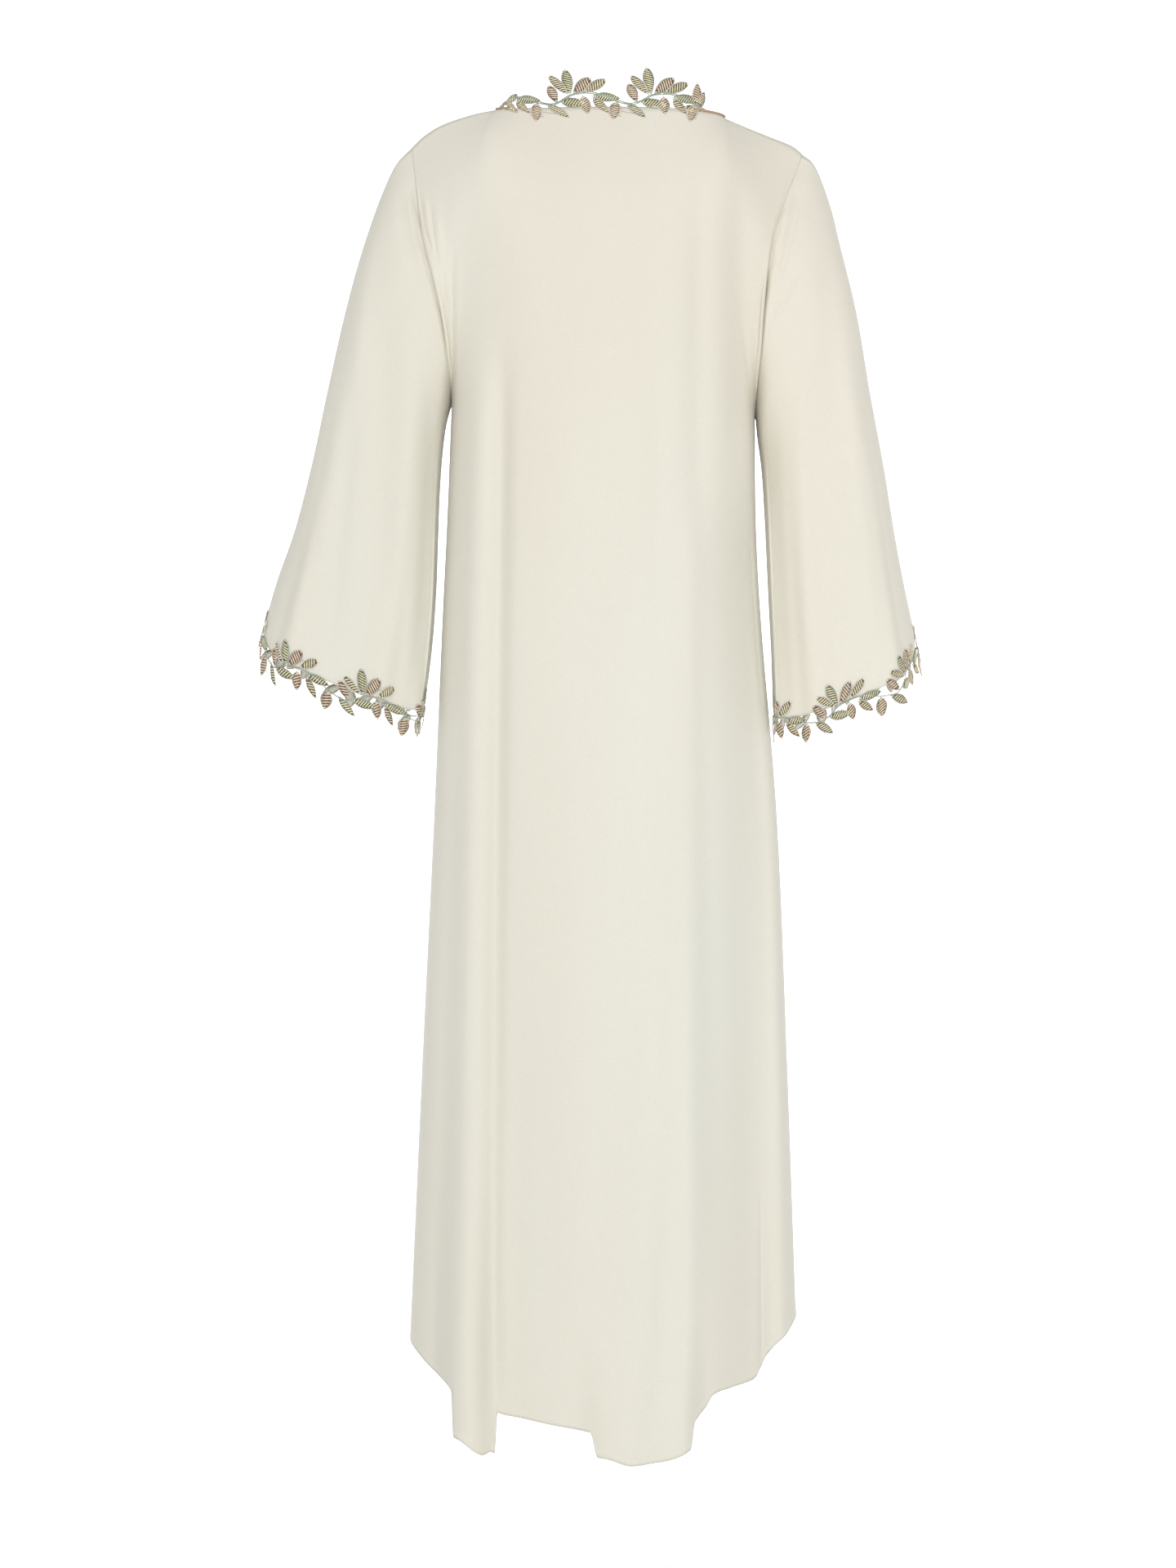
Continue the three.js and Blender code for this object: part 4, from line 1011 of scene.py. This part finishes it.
def neck_lace(name, panel, grid, across, phase):
    inside = np.where((across >= NECK_AT - 1e-6) & (across <= 1 - NECK_AT + 1e-6))[0]
    rows = grid[::-1][:APRON_ROWS, inside]
    apron = edge_apron(rows, APRON_REACH, APRON_STEP)
    normals = normals_of(apron, False, -panel.facing)
    edge = apron[0]
    far = travelled(edge)
    length = far[-1] - 2 * NECK_LACE_END
    lace = flat_lace(length, phase, NECK_LACE_BARE, (4, 22), -5, 0.7, 1.08)
    # Leaves that crowd at the strip's ends, and a narrow tape that binds the neck edge under each end. The
    # tape's brown is painted shade: the shaded inside of the dress seen past each end.
    for k, leaf in enumerate(NECK_END_LEAVES):
        leaf_stitches(lace, leaf, length if leaf.along < 0 else 0, k + 0.5, 0)
    for low, high in ((-NECK_LACE_END, 24), (length - 44, length + NECK_LACE_END)):
        tape_painted_shade = np.arange(low, high, 2.0)
        binding = np.column_stack([tape_painted_shade, 0 * tape_painted_shade - NECK_LACE_UP + 0.5, 0 * tape_painted_shade + 0.9])
        lace.cord(binding, 1.8, "tape_painted_shade", sides=6)

    def place(flat):
        along, up, out = flat.T
        column = np.interp(along + NECK_LACE_END, far, np.arange(len(far)))
        sunk = NECK_LACE_SINK * (1 - ease(np.minimum(along, length - along) / 46))
        above = np.where(up > -NECK_LACE_UP, np.maximum(up - sunk, -NECK_LACE_UP), up) + NECK_LACE_UP
        down = np.maximum(-above, 0) / APRON_STEP
        base, normal = bilinear(apron, down, column), unit(bilinear(normals, down, column))
        fall = unit(bilinear(apron, 0 * column, column) - bilinear(apron, 0 * column + 2, column))
        inside_ends = ease(np.minimum(along, length + 2 * NECK_LACE_END - along) / REPEAT)
        upright = NECK_LACE_RISE * (NECK_LACE_LOW + (1 - NECK_LACE_LOW) * inside_ends)
        rise = unit(fall + np.stack([0 * along, 0 * along, upright], axis=-1))
        face = unit(normal - rise * np.sum(normal * rise, axis=-1, keepdims=True))
        face = np.where(above[:, None] > 0, face, normal)
        return base + rise * np.maximum(above, 0)[:, None] + face * (LACE_LIFT + out)[:, None]

    piece = lace_mesh(f"{name}_lace", lace, place)
    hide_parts(name)
    return piece


def cuff_lace(name, side, grid, phase):
    count = grid.shape[1]
    order = np.roll(np.arange(count), -(count // 2))
    order = np.append(order, order[0])
    if side == "right":
        order = order[::-1]
    rows = grid[::-1][:APRON_ROWS, order]
    apron = edge_apron(rows, APRON_REACH, APRON_STEP)
    normals = normals_of(apron, False, 1)
    edge = apron[0]
    far = travelled(edge)
    repeats = round(far[-1] / REPEAT)
    stretch = far[-1] / (repeats * REPEAT)
    margin = 1.5
    lace = flat_lace(repeats * REPEAT - 2 * margin, phase, 1, (0, 0), 6, 0.4, 0.92)

    def place(flat):
        along, up, out = flat.T
        column = np.interp((along + margin) * stretch, far, np.arange(len(far)))
        above = up + CUFF_LACE_UP
        rows_up = np.maximum(above, 0) / APRON_STEP
        base, normal = bilinear(apron, rows_up, column), unit(bilinear(normals, rows_up, column))
        fall = unit(bilinear(apron, 0 * column, column) - bilinear(apron, 0 * column + 3, column))
        return base + fall * np.maximum(-above, 0)[:, None] + normal * (LACE_LIFT + out)[:, None]

    piece = lace_mesh(f"{name}_lace", lace, place)
    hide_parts(name)
    return piece


neck_back_lace = neck_lace("neck_trim_back", BACK, back_grid, back_across, NECK_FAN_AT["back"])
neck_front_lace = neck_lace("neck_trim_front", FRONT, front_grid, front_across, NECK_FAN_AT["front"])
cuff_laces = {
    side: cuff_lace(f"cuff_trim_{side}", side, grid, CUFF_FAN_AT[side])
    for side, grid in sleeve_grids.items()
}

# ------------------------------------------------------------------ room
# A plain pale floor that glows behind the dress and curves up into a backdrop, soft lights on the
# camera's side and an even white surround. The dress hangs clear of the floor, as on an unseen stand.

FLOOR = -1.62
FLOOR_NEAR = 4.5
FLOOR_FAR = -5.0
FLOOR_CURVE = 1.6
STAGE_TOP = 3.4
STAGE_HALF = 5
CAMERA_AWAY = 3.4
FRAME_TALL = 1.6704

profile = [(FLOOR_NEAR, FLOOR), (FLOOR_FAR, FLOOR)]
for i in range(1, 13):
    angle = math.pi / 2 * i / 12
    profile.append((FLOOR_FAR - FLOOR_CURVE * math.sin(angle), FLOOR + FLOOR_CURVE * (1 - math.cos(angle))))
profile.append((FLOOR_FAR - FLOOR_CURVE, STAGE_TOP))
mesh = bpy.data.meshes.new("studio_floor")
vertices = [(x, y, z) for y, z in profile for x in (-STAGE_HALF, STAGE_HALF)]
mesh.from_pydata(vertices, [], [[2 * i, 2 * i + 1, 2 * i + 3, 2 * i + 2] for i in range(len(profile) - 1)])
mesh.polygons.foreach_set("use_smooth", [True] * len(mesh.polygons))
floor = bpy.data.objects.new("studio_floor", mesh)
bpy.context.scene.collection.objects.link(floor)
paint = bpy.data.materials.new("studio_paint")
paint.use_nodes = True
tree = paint.node_tree
face = tree.nodes["Principled BSDF"]
face.inputs["Base Color"].default_value = (0.9, 0.9, 0.9, 1)
face.inputs["Roughness"].default_value = 0.9
face.inputs["Emission Color"].default_value = (1, 1, 1, 1)
where = tree.nodes.new("ShaderNodeTexCoord")
apart = tree.nodes.new("ShaderNodeSeparateXYZ")
behind = node(tree, "ShaderNodeMapRange", in_1=-0.05, in_2=-0.7, in_3=0.0, in_4=0.85)
tree.links.new(where.outputs["Object"], apart.inputs[0])
tree.links.new(apart.outputs["Y"], behind.inputs["Value"])
tree.links.new(behind.outputs[0], face.inputs["Emission Strength"])
mesh.materials.append(paint)

world = bpy.data.worlds.new("studio")
world.use_nodes = True
world.node_tree.nodes["Background"].inputs["Color"].default_value = (1, 1, 1, 1)
world.node_tree.nodes["Background"].inputs["Strength"].default_value = 0.66
bpy.context.scene.world = world


def soft_light(name, place, aim, size, power):
    light = bpy.data.lights.new(name, "AREA")
    light.shape = "RECTANGLE"
    light.size, light.size_y = size
    light.energy = power
    lamp = bpy.data.objects.new(name, light)
    bpy.context.scene.collection.objects.link(lamp)
    lamp.location = place
    way = np.array(aim, float) - np.array(place, float)
    heading = math.atan2(way[1], way[0]) - math.pi / 2
    tilt = math.atan2(way[2], math.hypot(way[0], way[1]))
    lamp.rotation_euler = (math.pi / 2 + tilt, 0, heading)


soft_light("key", (0.8, 5.6, 2.2), (0, 0, -0.6), (1.8, 1.8), 86)
soft_light("fill", (-1.6, 6.0, -1.2), (0, 0, -0.8), (1.6, 1.6), 87)
soft_light("overhead", (0.1, 1.9, 2.0), (0, 0, -0.1), (2.0, 1.0), 4)

camera_data = bpy.data.cameras.new("camera")
camera_data.sensor_width = 36
camera_data.lens = camera_data.sensor_width * CAMERA_AWAY / FRAME_TALL
camera = bpy.data.objects.new("camera", camera_data)
camera.location = (0.0191, CAMERA_AWAY, -0.7134)
camera.rotation_euler = (math.pi / 2, 0, math.pi)
bpy.context.scene.collection.objects.link(camera)
bpy.context.scene.camera = camera
bpy.context.scene.view_settings.view_transform = "Standard"
